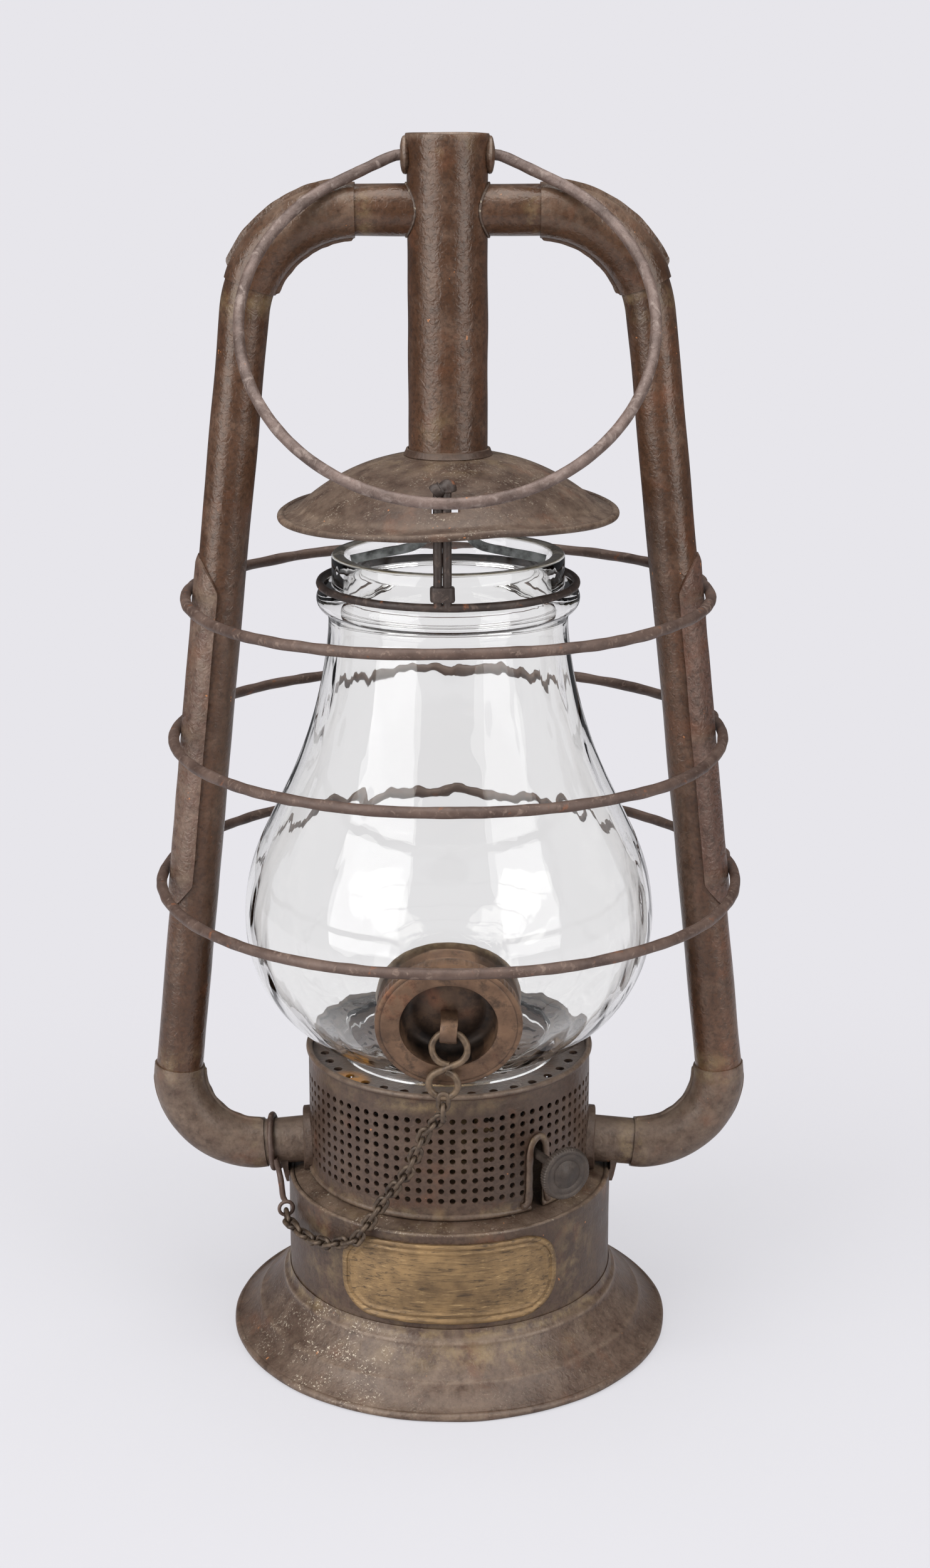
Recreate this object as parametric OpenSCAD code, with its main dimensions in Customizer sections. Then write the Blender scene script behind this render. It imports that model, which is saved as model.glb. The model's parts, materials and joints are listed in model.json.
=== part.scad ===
// Kerosene storm lamp: a round fount on a flared foot, a drum that carries a pear-shaped glass,
// two side tubes that meet a centre chimney, a wire guard, a lighting port and a swinging bail.
// Units are millimetres. The lamp stands on Z = 0, its axis is Z and its front faces -Y.

/* [Sheet and clearances] */
// Thickness of the pressed sheet
sheet = 0.8; // [0.6:0.05:1]
// Gap left between pieces that are soldered or pushed together
fit = 0.05; // [0.03:0.01:0.08]
// Gap left between pieces that pass each other without touching
clear = 0.35; // [0.3:0.05:0.5]
// Extra thickness of bends over the straight pieces that run into them
swell = 0.02; // [0.01:0.005:0.025]

/* [Foot and fount] */
// Width of the foot's flare outside the fount's wall
foot_flare = 19.8; // [17:0.2:23]
// Height of the foot
foot_h = 23; // [22:0.5:24]
// Radius of the rolled edge of the foot
foot_bead = 1.4; // [1:0.1:1.6]
// Rise of the low ridge round the middle of the foot
foot_ridge = 1; // [0.6:0.1:1.4]
// Outer radius of the fount
fount_r = 55; // [54:0.2:56]
// Height of the fount's top rim above the table
fount_top = 56.8; // [55:0.2:58]
// Radius of the rolled rim of the fount
fount_bead = 0.9; // [0.7:0.1:1]
// Height of the fount's bottom above the table
fount_floor = 20; // [18:0.5:21]
// Width of the front plate, measured straight across
plate_w = 70.4; // [60:0.2:74]
// Height of the front plate
plate_h = 28.2; // [24:0.2:29]
// Corner radius of the front plate
plate_corner = 11; // [6:0.5:12]
// Width of the plate's raised border
plate_border = 1.6; // [1:0.1:2]

/* [Drum and burner] */
// Distance of the drum's wall inside the fount's wall
drum_in = 7.4; // [7:0.1:9]
// Height of the drum
drum_h = 44.6; // [43:0.2:46]
// Rise of the drum's seat above the fount's rim
drum_lift = 1.2; // [1:0.1:1.5]
// Radius of the rolled edges of the drum
drum_bead = 1.1; // [0.9:0.1:1.3]
// Depth of the globe plate below the drum's upper edge
plate_drop = 2; // [1.5:0.1:3]
// Diameter of the holes in the globe plate
plate_hole = 3; // [2:0.1:3.4]
// Width of the slot for the wick spindle
slot_w = 5; // [4:0.1:6]
// Height of the slot above the drum's lower edge
slot_h = 24; // [22:0.5:27]
// Wall of the burner collar round the wick tube
collar_wall = 1.3; // [1:0.1:1.6]
// Height of the burner collar above the fount's top
collar_h = 5; // [4:0.1:6]
// Depth of the burner collar below the fount's top
collar_drop = 3; // [2:0.1:4]
// Width of the step on which the burner collar rests
collar_step = 2; // [1.5:0.1:2.5]
// Radius of the burner cone
cone_r = 17; // [16:0.1:18]
// Width of the burner cone's flange
cone_flange = 3; // [2:0.1:3.5]
// Width of the wick
wick_w = 22; // [20:0.2:23]
// Thickness of the wick
wick_t = 3; // [2.6:0.1:3.2]
// Rise of the wick's upper end above the wick tube
wick_out = 1.5; // [1:0.1:2]
// Angle of the spindle to the right of the front
spindle_turn = 30; // [28:0.5:32]
// Height of the spindle above the drum's lower edge
spindle_up = 19.5; // [17:0.1:20]
// Radius of the spindle
spindle_r = 1.5; // [1.2:0.1:1.8]
// Radius of the wick wheels
wheel_r = 4.2; // [4:0.1:4.6]
// Diameter of the wick knob
knob_d = 17.6; // [15:0.2:19]
// Thickness of the wick knob
knob_t = 3.4; // [2.6:0.1:4.2]
// Distance of the wick knob from the drum's wall
knob_gap = 14.8; // [12.4:0.2:18.4]

/* [Glass] */
// Largest radius of the glass
belly_r = 67.8; // [66:0.2:69]
// Height of the largest radius above the glass foot
belly_up = 47.4; // [46:0.2:49]
// Radius of the glass foot
glass_foot_r = 36.5; // [35:0.1:38]
// Radius of the curve below the belly
belly_curve = 46.5; // [45:0.5:48]
// Radius of the curve above the belly
shoulder_curve = 66; // [64:0.5:68]
// Slope of the shoulder against the axis
shoulder_slope = 26; // [25:0.25:27]
// Radius of the hollow curve under the neck
neck_curve = 150; // [145:1:155]
// Radius of the glass under its bead
neck_r = 38.7; // [38:0.1:39]
// Height of the plain neck under the bead
neck_rise = 5.8; // [5:0.1:7]
// Radius of the bead's section
bead_r = 4.4; // [4:0.1:4.8]
// Outer radius of the ground rim
rim_r = 37.4; // [37:0.1:37.8]
// Inner radius of the ground rim
rim_bore_r = 33.2; // [33:0.1:34]
// Height of the rim above the bead's middle
rim_up = 14.2; // [13:0.1:15]
// Thickness of the glass
glass_t = 3; // [2.6:0.1:3.4]

/* [Lighting port] */
// Slope of the port below the horizontal
port_slope = 14; // [13:0.25:15]
// Drop of the port's middle below the belly
port_drop = 9.8; // [9.5:0.1:10.5]
// Depth of the port's seat behind the belly
port_sink = 6.1; // [5.5:0.1:6.5]
// Outer radius of the collar on the glass
port_flange_r = 22.6; // [22:0.1:23]
// Inner radius of the collar
port_bore_r = 18; // [17.5:0.1:18.5]
// Outer radius of the cap
cap_r = 23; // [22.5:0.1:23.4]
// Height of the cap's milled edge
cap_rim = 4.6; // [4:0.1:5]
// Radius of the cap's dished front
dish_r = 15.5; // [14:0.1:16]
// Width of the strap in the dish
strap_w = 5; // [4:0.1:6]
// Thickness of the strap
strap_t = 1; // [0.8:0.1:1.2]
// Radius of the hook's wire
hook_wire = 0.85; // [0.7:0.05:0.9]
// Radius of the hook's upper eye
hook_eye = 5.4; // [5.2:0.1:5.8]
// Radius of the hook's lower eye
hook_low_eye = 4.5; // [4.2:0.1:4.8]
// Radius of the chain's wire
link_wire = 0.45; // [0.35:0.05:0.5]
// Distance from one chain link to the next
link_pitch = 4; // [3.8:0.1:4.4]
// Radius of the wire that anchors the chain
anchor_wire = 0.9; // [0.7:0.05:1]

/* [Side tubes] */
// Outer radius of the side tubes
tube_r = 7.85; // [7.5:0.05:8]
// Lean of the side tubes against the axis
lean = 6.37; // [6:0.05:6.7]
// Rise of the lower stubs at the elbow above the fount's rim
stub_up = 8; // [8:0.1:9]
// Slope of the lower stubs
stub_slope = 6; // [5:0.1:7]
// Distance of the lower elbow's seam from the fount's wall
stub_reach = 7.7; // [7:0.1:9]
// Height from the lower stubs to the upper stubs
frame_h = 312.2; // [308:0.2:316]
// Distance of the upper elbow's seam from the axis
top_out = 28.6; // [27:0.1:30]
// Bend radius of the upper elbows
top_bend = 35; // [33:0.2:36]
// Angle at which the upper elbows end
top_elbow_end = 20; // [17:0.5:24]
// Width of the flanges along the elbow seams
flange_w = 1.2; // [1:0.1:1.6]
// Radius of the discs round the lower stubs
disc_r = 11.2; // [10.5:0.1:11.5]

/* [Chimney and hood] */
// Outer radius of the chimney
chimney_r = 12.5; // [12:0.1:13]
// Rise of the chimney above the upper stubs
chimney_up = 23; // [22:0.2:26]
// Height of the hood's crown above the glass rim
hood_up = 31.5; // [30:0.5:34]
// Radius of the hood
hood_r = 54.6; // [53:0.2:56]
// Radius at which the dome meets the brim
dome_r = 47.3; // [46:0.1:48.5]
// Slope of the dome at the brim
dome_slope = 40; // [38:0.5:42]
// Slope of the brim
brim_slope = 22; // [20:0.5:25]
// Radius of the brim's rolled edge
brim_bead = 1.2; // [1:0.1:1.4]
// Radius of the spring's wire
spring_wire = 1; // [0.8:0.05:1.1]

/* [Bail and wire guard] */
// Radius of the bail's wire
bail_wire = 1.9; // [1.7:0.05:2]
// Height of the bail's pivot above the upper stubs
pivot_up = 16.5; // [16.2:0.1:17]
// Distance of the ears' faces from the axis
ear_out = 14.5; // [14.2:0.1:14.8]
// Radius of the ears
ear_r = 5.8; // [5:0.1:6]
// Distance from the ears' faces to the bend in the bail's legs
ear_gap = 2.7; // [2.4:0.1:3.4]
// Half width of the bail
bail_half = 62; // [61.6:0.1:62.6]
// Depth from the pivot to the bail's widest place
bail_deep = 60; // [59.2:0.1:60.4]
// Radius of the bail's upper curves
bail_curve = 58; // [57:0.1:58.6]
// Radius of the guard rings' wire
guard_wire = 1.75; // [1.5:0.05:2]
// Heights of the guard rings above the globe plate
guard_up = [61.6, 110.2, 156.2];
// Thickness of the strips on the side tubes
strip_t = 1; // [0.8:0.1:1.4]
// Length of the strips along the side tubes
strip_l = 120.4; // [118:0.2:124]
// Radius of the globe holder's ring
holder_r = 41.2; // [40.8:0.1:41.6]
// Radius of the globe holder's wire
holder_wire = 1.3; // [1.1:0.05:1.4]

/* [Hidden] */
$fn = 64;

// Radii that follow from the sizes above
foot_r = fount_r + foot_flare;
drum_r = fount_r - drum_in;
knob_out = drum_r + knob_gap;
stub_out = fount_r + stub_reach;

// Heights that follow from the sizes above
drum_z = fount_top + drum_lift;
drum_top = drum_z + drum_h;
plate_z = drum_top - plate_drop;
stub_z = fount_top + stub_up;
top_z = stub_z + frame_h;
chimney_top = top_z + chimney_up;
pivot_z = top_z + pivot_up;
belly_z = plate_z + belly_up;

// The side tubes: straight part from the upper elbow's tangent to the lower elbow's tangent
top_centre = [top_out, top_z - top_bend];
tube_high = top_centre + top_bend * [cos(lean), sin(lean)];
stub_end = [stub_out, stub_z];
low_bend = ((tube_high - stub_end) * [cos(lean), sin(lean)]) / (1 + sin(stub_slope + lean));
low_centre = stub_end + low_bend * [sin(stub_slope), cos(stub_slope)];
tube_low = low_centre + low_bend * [cos(lean), sin(lean)];
elbow_r = tube_r + fit + sheet;
lap = 8;
function tube_x(z) = tube_high.x + (tube_high.y - z) * tan(lean);

// The glass: arcs that run into each other
belly_in = belly_r - belly_curve;
shoulder_in = belly_r - shoulder_curve;
shoulder_end = [shoulder_in + shoulder_curve * cos(shoulder_slope),
    belly_z + shoulder_curve * sin(shoulder_slope)];
neck_turn = 5;
hollow_r = neck_r + neck_curve * (cos(neck_turn) - cos(shoulder_slope));
hollow_z = shoulder_end.y + (shoulder_end.x - hollow_r) / tan(shoulder_slope);
hollow_centre = [hollow_r, hollow_z] + neck_curve * [cos(shoulder_slope), sin(shoulder_slope)];
neck_z = hollow_z + neck_curve * (sin(shoulder_slope) - sin(neck_turn));
bead_in = neck_r - 0.7;
bead_z = neck_z + neck_rise + bead_r;
rim_z = bead_z + rim_up;
glass_foot_t = 3;

// The hood
crown_z = rim_z + hood_up;
crown_slope = 8;
crown_r = chimney_r + fit + 1.1;
dome_curve = (dome_r - crown_r) / (sin(dome_slope) - sin(crown_slope));
brim_z = crown_z - dome_curve * (cos(crown_slope) - cos(dome_slope));
function dome_angle(r) = asin(sin(crown_slope) + (r - crown_r) / dome_curve);
function dome_z(r) = crown_z - dome_curve * (cos(crown_slope) - cos(dome_angle(r)));

// The globe holder rests on the glass bead and comes up through the hood
holder_z = bead_z + sqrt(pow(bead_r + holder_wire + fit, 2) - pow(holder_r - bead_in, 2));
holder_x = [-3.1, -0.2];
holder_mid = (holder_x[0] + holder_x[1]) / 2;
holder_y = holder_r - 0.06;
upright_r = holder_wire - 0.2;
holder_knob_z = dome_z(holder_r) + 6.4;

// The port's own axis
port_y = -(belly_r - port_sink);
port_z = belly_z - port_drop;
port_wall = 1.4;
collar_front = 5.8;
cap_front = collar_front + clear / 2 + cap_rim;
cup_r = port_bore_r - 2 * clear;
cup_floor = -2;
strap_r = 3.4;
strap_up = cup_floor + sheet + 8.6;
strap_drop = 3;
dish_flat = 8.4;

// The wick drive stands on a turned frame with its own offset from the axis
spindle_off = wick_t / 2 + 0.3 + wheel_r;
spindle_z = drum_z + spindle_up;
tube_t = wick_t + 1;
tube_w = wick_w + 1.4;
collar_bore = norm([tube_w / 2 + sheet, tube_t / 2 + sheet]) + clear;
collar_r = collar_bore + collar_wall + collar_step;
wick_tube_top = plate_z + 12;
wick_base = fount_floor + 10;

// The bail's lean: the first one at which its wire clears the elbows
bail_foot = ear_out + ear_gap;
bail_centre = [bail_half - bail_curve, -bail_deep];
leg_line = [bail_foot, 0] - bail_centre;
leg_turn = atan2(leg_line.y, leg_line.x) - acos(bail_curve / norm(leg_line));
bail_end = bail_centre + bail_curve * [cos(leg_turn), sin(leg_turn)];
bail_bend = 8.5;
bail_tangent = bail_bend * tan((90 - leg_turn) / 2);
bail_points = concat([for (t = [0:0.1:1]) [bail_foot, 0] * (1 - t) + bail_end * t],
    [for (t = [0:0.0625:1]) bail_centre + bail_curve * [cos(leg_turn * t), sin(leg_turn * t)]],
    [for (a = [0:-6:-90]) [0, -bail_deep] + bail_half * [cos(a), sin(a)]]);
bail_gap = elbow_r + bail_wire + clear;
function seam_gap(x, z) = x < top_out ? abs(z - top_z)
    : abs(norm([x, z] - top_centre) - top_bend);
function tube_gap(x, z) = z > tube_high.y ? seam_gap(x, z)
    : abs((x - tube_x(z)) * cos(lean));
function lean_gap(a) = min([for (p = bail_points)
    norm([p.y * sin(a), tube_gap(p.x, pivot_z + p.y * cos(a))])]);
bail_lean = [for (a = [20:0.25:60]) if (lean_gap(a) >= bail_gap) a][0];

// The eye that anchors the chain at the left, and the direction in which the chain leaves it
anchor_eye = [-fount_r, -20, fount_top - 7.3];
anchor_turn = 14.5;
eye_r = 2.4;
eye_wire = 0.7;

// The chain's route between the hook and the eye: distance from the fount's wall, angle from the
// front and height above the fount's rim
chain_route = [[11, -6.3, 41.2], [7.5, -11.9, 25.5], [5, -20.2, 13.2], [4.4, -24.9, 5.2],
    [4.2, -30.8, -3.7], [4.2, -41.7, -8.6], [3.8, -52.3, -10.4], [3.8, -60, -10.6], [4, -66.5, -10.2]];
function route_point(p) = [(fount_r + p[0]) * sin(p[1]), -(fount_r + p[0]) * cos(p[1]), fount_top + p[2]];

// A bar of wire between two points
module rod(a, b, r) {
    d = b - a;
    translate(a)
        rotate([0, acos(d.z / norm(d)), atan2(d.y, d.x)])
            cylinder(h = norm(d), r = r);
}

// A bar of wire whose ends reach a little way into the bends it meets
module run(a, b, r) {
    d = 0.3 * (b - a) / norm(b - a);
    rod(a - d, b + d, r);
}

// A bent bar in the XY plane, about the origin
module bend(radius, r, from, to) {
    rotate([0, 0, from])
        rotate_extrude(angle = to - from)
            translate([radius, 0]) circle(r + swell);
}

// A bent pipe in the XY plane, about the origin
module bent_pipe(radius, r, from, to) {
    rotate([0, 0, from])
        rotate_extrude(angle = to - from)
            translate([radius, 0])
                difference() {
                    circle(r + swell);
                    circle(r - sheet - swell);
                }
}

// Stands what is drawn in the XY plane up in the XZ plane
module upright() {
    rotate([90, 0, 0]) children();
}

// Points along an arc
function arc(centre, radius, from, to, n) =
    [for (i = [0:n]) centre + radius * [cos(from + (to - from) * i / n), sin(from + (to - from) * i / n)]];

// The outline of a bent sheet whose outer side runs through the points
function side(p, i) = let (a = p[max(i - 1, 0)], b = p[min(i + 1, len(p) - 1)], d = (b - a) / norm(b - a))
    [d.y, -d.x];
function sheet_outline(p, t) = concat(p, [for (i = [len(p) - 1:-1:0]) p[i] + t * side(p, i)]);

module foot_ring() {
    top = [fount_r + fit + sheet, foot_h];
    shoulder = top + [1.55, -4.4];
    fall = shoulder + [0.7, -1.3];
    edge = [foot_r - foot_bead, foot_bead + 0.6];
    skirt = [for (i = [1:8]) [fall.x + (edge.x - fall.x) * i / 8,
        edge.y + (fall.y - edge.y) * pow(1 - i / 8, 1.3) + (i == 4 ? foot_ridge : 0)]];
    color("saddlebrown")
    difference() {
        union() {
            rotate_extrude()
                polygon(sheet_outline(concat([top, top + [0.2, -1.6], top + [0.8, -3.2], shoulder, fall],
                    skirt), sheet));
            rotate_extrude()
                translate([foot_r - foot_bead, foot_bead - 0.3]) circle(foot_bead);
        }
        translate([0, 0, -foot_bead])
            cylinder(h = foot_bead, r = foot_r + foot_bead);
    }
}

module fount_shell() {
    color("saddlebrown")
    rotate_extrude() {
        translate([fount_r - sheet, fount_floor]) square([sheet, fount_top - fount_bead - fount_floor]);
        translate([fount_r - fount_bead, fount_top - fount_bead]) circle(fount_bead);
    }
}

module fount_top_plate() {
    edge = fount_r - 2 * fount_bead - fit;
    color("saddlebrown")
    rotate_extrude()
        polygon([[collar_r - collar_step, drum_z - sheet], [drum_r + 0.3, drum_z - sheet],
            [edge, fount_top - 1.6 * sheet], [edge, fount_top - 0.6 * sheet],
            [drum_r + 0.3, drum_z], [collar_r - collar_step, drum_z]]);
}

module fount_bottom() {
    color("saddlebrown")
    translate([0, 0, fount_floor])
        cylinder(h = sheet, r = fount_r - sheet - fit);
}

module plate_blank(margin) {
    w = plate_w / 2 - margin;
    h = plate_h / 2 - margin;
    c = plate_corner - margin;
    translate([-w, -h + c]) square([2 * w, 2 * (h - c)]);
    translate([-w + c, -h]) square([2 * (w - c), 2 * h]);
    for (x = [-w + c, w - c])
        for (y = [-h + c, h - c])
            translate([x, y]) circle(c);
}

module plate_layer(inner, outer) {
    intersection() {
        rotate_extrude()
            translate([inner, foot_h]) square([outer - inner, fount_top - foot_h]);
        translate([0, 0, foot_h + 2.2 + plate_h / 2])
            upright() linear_extrude(height = outer + 1) children();
    }
}

module front_plate() {
    plate_t = 0.7;
    color("goldenrod")
    union() {
        plate_layer(fount_r + fit, fount_r + fit + plate_t) plate_blank(0);
        plate_layer(fount_r + fit, fount_r + fit + plate_t + 0.5)
            difference() {
                plate_blank(0);
                plate_blank(plate_border);
            }
    }
}

module burner_collar() {
    seat = collar_r - collar_step - fit;
    color("peru")
    rotate_extrude()
        polygon([[seat, drum_z - collar_drop], [seat, drum_z + fit],
            [collar_r, drum_z + fit], [collar_r, drum_z + collar_h],
            [collar_bore, drum_z + collar_h], [collar_bore, drum_z - collar_drop]]);
}

// Turns children to the spindle's direction: X runs along the spindle and Y away from the wick
module drive_frame() {
    rotate([0, 0, spindle_turn - 90]) children();
}

module burner_body() {
    base = drum_z + collar_h + fit;
    lug_x = wick_w / 2 + 3;
    color("peru")
    drive_frame()
        difference() {
            union() {
                translate([0, 0, base]) cylinder(h = 3, r = collar_r + 3);
                for (x = [-lug_x, lug_x])
                    translate([x - 0.8, spindle_off - 4, base])
                        cube([1.6, 8, spindle_z + 4 - base]);
            }
            translate([-tube_w / 2 - sheet - fit, -tube_t / 2 - sheet - fit, base - 1])
                cube([tube_w + 2 * sheet + 2 * fit, tube_t + 2 * sheet + 2 * fit, 5]);
            translate([-lug_x - 2, spindle_off, spindle_z])
                rotate([0, 90, 0]) cylinder(h = 2 * lug_x + 4, r = spindle_r + fit);
        }
}

module wick_tube() {
    low = drum_z - 8;
    color("peru")
    drive_frame()
        difference() {
            translate([-tube_w / 2 - sheet, -tube_t / 2 - sheet, low])
                cube([tube_w + 2 * sheet, tube_t + 2 * sheet, wick_tube_top - low]);
            translate([-tube_w / 2, -tube_t / 2, low - 1])
                cube([tube_w, tube_t, wick_tube_top - low + 2]);
            for (x = [-6, 6])
                translate([x - 2, 0, spindle_z - wheel_r - 1])
                    cube([4, tube_t, 2 * wheel_r + 2]);
        }
}

module wick() {
    color("wheat")
    drive_frame()
        translate([-wick_w / 2, -wick_t / 2, wick_base])
            cube([wick_w, wick_t, wick_tube_top + wick_out - wick_base]);
}

module wick_spindle() {
    color("dimgray")
    drive_frame()
        translate([-wick_w / 2 - 6, spindle_off, spindle_z])
            rotate([0, 90, 0]) cylinder(h = wick_w / 2 + 6 + knob_out + 1.5, r = spindle_r);
}

// A disc with a milled edge
module milled_disc(r, depth, teeth, h) {
    linear_extrude(height = h)
        polygon([for (i = [0:2 * teeth - 1])
            (r - (i % 2) * depth) * [cos(i * 180 / teeth), sin(i * 180 / teeth)]]);
}

module wick_wheels() {
    color("dimgray")
    drive_frame()
        for (x = [-6, 6])
            translate([x - 1, spindle_off, spindle_z])
                rotate([0, 90, 0])
                    difference() {
                        milled_disc(wheel_r, 0.9, 12, 2);
                        translate([0, 0, -1]) cylinder(h = 4, r = spindle_r + fit / 2);
                    }
}

module wick_knob() {
    color("dimgray")
    drive_frame()
        translate([knob_out, spindle_off, spindle_z])
            rotate([0, 90, 0])
                difference() {
                    milled_disc(knob_d / 2, 0.5, 44, knob_t);
                    translate([0, 0, -1]) cylinder(h = 1 + 1.6, r = spindle_r + fit / 2);
                    translate([0, 0, knob_t - 0.6])
                        difference() {
                            cylinder(h = 1, r = knob_d / 2 - 1.6);
                            translate([0, 0, -1]) cylinder(h = 3, r = knob_d / 2 - 2.6);
                        }
                }
}

module burner_cone() {
    base = plate_z + fit;
    color("peru")
    difference() {
        rotate_extrude()
            polygon(sheet_outline(concat(arc([0, base + 1], cone_r, 84, 0, 12),
                [[cone_r, base], [cone_r + cone_flange, base]]), sheet));
        translate([0, 0, base - 2]) cylinder(h = 2, r = cone_r + cone_flange + 1);
        drive_frame()
            translate([-tube_w / 2 - 2, -tube_t / 2 - 2, base + 2])
                cube([tube_w + 4, tube_t + 4, cone_r]);
    }
}

// Places children along a lower stub on the right: Z runs outward along its axis
module stub_axis() {
    translate([stub_end.x, 0, stub_end.y])
        rotate([0, 90 + stub_slope, 0]) children();
}

module stub_bore(r) {
    inside = 6;
    stub_axis()
        translate([0, 0, drum_r - stub_out - inside]) cylinder(h = stub_out - drum_r + 2 * inside, r = r);
}

module spindle_slot(w, h) {
    drive_frame()
        translate([drum_r - 20, spindle_off - w / 2, drum_z - 1]) cube([30, w, h + 1]);
}

module drum() {
    color("saddlebrown")
    difference() {
        rotate_extrude() {
            translate([drum_r - sheet, drum_z]) square([sheet, drum_h]);
            translate([drum_r - 0.3, drum_z + drum_bead + 0.1]) circle(drum_bead);
            translate([drum_r - 0.3, drum_top - drum_bead]) circle(drum_bead);
        }
        spindle_slot(slot_w, slot_h);
        stub_bore(tube_r + fit);
        mirror([1, 0, 0]) stub_bore(tube_r + fit);
    }
}

// A band round the drum that steps out over its lower bead
module drum_band(outer, h) {
    step_r = drum_r - 0.3 + drum_bead + fit;
    step_z = drum_z + 2 * drum_bead + 0.1 + fit;
    rotate_extrude()
        polygon([[step_r, drum_z + 0.1], [outer, drum_z + 0.1], [outer, drum_z + h],
            [drum_r + fit, drum_z + h], [drum_r + fit, step_z], [step_r, step_z]]);
}

module slot_frame() {
    color("saddlebrown")
    difference() {
        intersection() {
            drum_band(drum_r + 1.8, slot_h + 3);
            spindle_slot(slot_w + 3, slot_h + 1.5);
        }
        spindle_slot(slot_w, slot_h);
    }
}

module globe_plate() {
    pitch = 2.1 * plate_hole;
    first = cone_r + cone_flange + plate_hole;
    color("saddlebrown")
    translate([0, 0, plate_z - sheet])
        linear_extrude(height = sheet)
            difference() {
                circle(drum_r - 0.3 - drum_bead - fit);
                circle(cone_r - 1.5);
                for (ring = [0:1])
                    for (i = [0:23])
                        rotate(7.5 * (2 * i + ring))
                            translate([first + ring * pitch * 0.85, 0]) circle(d = plate_hole);
                for (i = [0:35])
                    rotate(10 * i)
                        translate([drum_r - 5.2, 0]) circle(d = plate_hole);
            }
}

module drum_disc() {
    color("saddlebrown")
    difference() {
        intersection() {
            stub_axis()
                translate([0, 0, drum_r - stub_out - 6]) cylinder(h = 14, r = disc_r);
            drum_band(drum_r + 2.4, drum_h / 2);
        }
        stub_bore(tube_r + fit);
    }
}

module stub_saddle() {
    wide = 6;
    low = fount_top - 4;
    color("saddlebrown")
    difference() {
        intersection() {
            rotate_extrude()
                polygon([[fount_r + fit, low], [fount_r + 1, low], [fount_r + 1.6, fount_top - 2],
                    [fount_r + 3.6, stub_z], [fount_r + fit, stub_z]]);
            translate([fount_r - 15, -wide, low]) cube([30, 2 * wide, stub_z - low]);
        }
        stub_bore(tube_r + fit);
        translate([0, 0, stub_z - tube_r]) cylinder(h = tube_r + 1, r = fount_r + 0.4);
    }
}

module lower_stub() {
    color("saddlebrown")
    union() {
        stub_axis()
            translate([0, 0, drum_r - stub_out - 2])
                difference() {
                    cylinder(h = stub_out - drum_r + 2.3, r = tube_r);
                    translate([0, 0, -1]) cylinder(h = stub_out, r = tube_r - sheet);
                }
        translate([low_centre.x, 0, low_centre.y])
            upright() bent_pipe(low_bend, tube_r, -90 - stub_slope, -90 - stub_slope + lap);
    }
}

// Half of a pressed elbow with its seam flanges, in the XY plane; the half lies above it
module elbow_half(radius, from, to) {
    rotate([0, 0, from])
        rotate_extrude(angle = to - from)
            translate([radius, 0])
                difference() {
                    union() {
                        intersection() {
                            circle(elbow_r);
                            translate([-elbow_r, 0]) square([2 * elbow_r, elbow_r]);
                        }
                        translate([-elbow_r - flange_w + 0.2, 0])
                            square([2 * (elbow_r + flange_w - 0.2), sheet]);
                    }
                    circle(tube_r + fit);
                }
}

module lower_elbow_half() {
    color("saddlebrown")
    translate([low_centre.x, 0, low_centre.y])
        upright() elbow_half(low_bend, -90 - stub_slope, lean);
}

module side_tube() {
    color("saddlebrown")
    union() {
        translate([low_centre.x, 0, low_centre.y])
            upright() bent_pipe(low_bend, tube_r, lean - lap, lean);
        difference() {
            run([tube_low.x, 0, tube_low.y], [tube_high.x, 0, tube_high.y], tube_r);
            rod([tube_low.x, 0, tube_low.y] + [sin(lean), 0, -cos(lean)],
                [tube_high.x, 0, tube_high.y] - [sin(lean), 0, -cos(lean)], tube_r - sheet);
        }
        translate([top_centre.x, 0, top_centre.y])
            upright() bent_pipe(top_bend, tube_r, lean, top_elbow_end + lap);
    }
}

module upper_elbow_half() {
    color("saddlebrown")
    translate([top_centre.x, 0, top_centre.y])
        upright() elbow_half(top_bend, top_elbow_end, 90);
}

module upper_stub() {
    color("saddlebrown")
    union() {
        difference() {
            run([0, 0, top_z], [top_out, 0, top_z], tube_r);
            rod([-1, 0, top_z], [top_out + 1, 0, top_z], tube_r - sheet);
            translate([0, 0, top_z - 20]) cylinder(h = 40, r = chimney_r + fit);
        }
        translate([top_centre.x, 0, top_centre.y])
            upright() bent_pipe(top_bend, tube_r, 90 - lap, 90);
    }
}

module chimney_tube() {
    color("saddlebrown")
    difference() {
        translate([0, 0, crown_z - 2]) cylinder(h = chimney_top - crown_z + 2, r = chimney_r);
        translate([0, 0, crown_z - 3]) cylinder(h = chimney_top - crown_z + 4, r = chimney_r - sheet);
        rod([-chimney_r - 1, 0, top_z], [chimney_r + 1, 0, top_z], tube_r - sheet);
        rod([-chimney_r - 1, 0, pivot_z], [chimney_r + 1, 0, pivot_z], bail_wire + fit);
    }
}

module chimney_lid() {
    color("saddlebrown")
    translate([0, 0, chimney_top - 2 * sheet])
        cylinder(h = sheet, r = chimney_r - sheet - fit);
}

module bail_ear() {
    color("saddlebrown")
    difference() {
        rod([0, 0, pivot_z], [ear_out, 0, pivot_z], ear_r);
        rod([-1, 0, pivot_z], [ear_out + 1, 0, pivot_z], bail_wire + fit);
        translate([0, 0, pivot_z - 10]) cylinder(h = 20, r = chimney_r + fit);
    }
}

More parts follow.
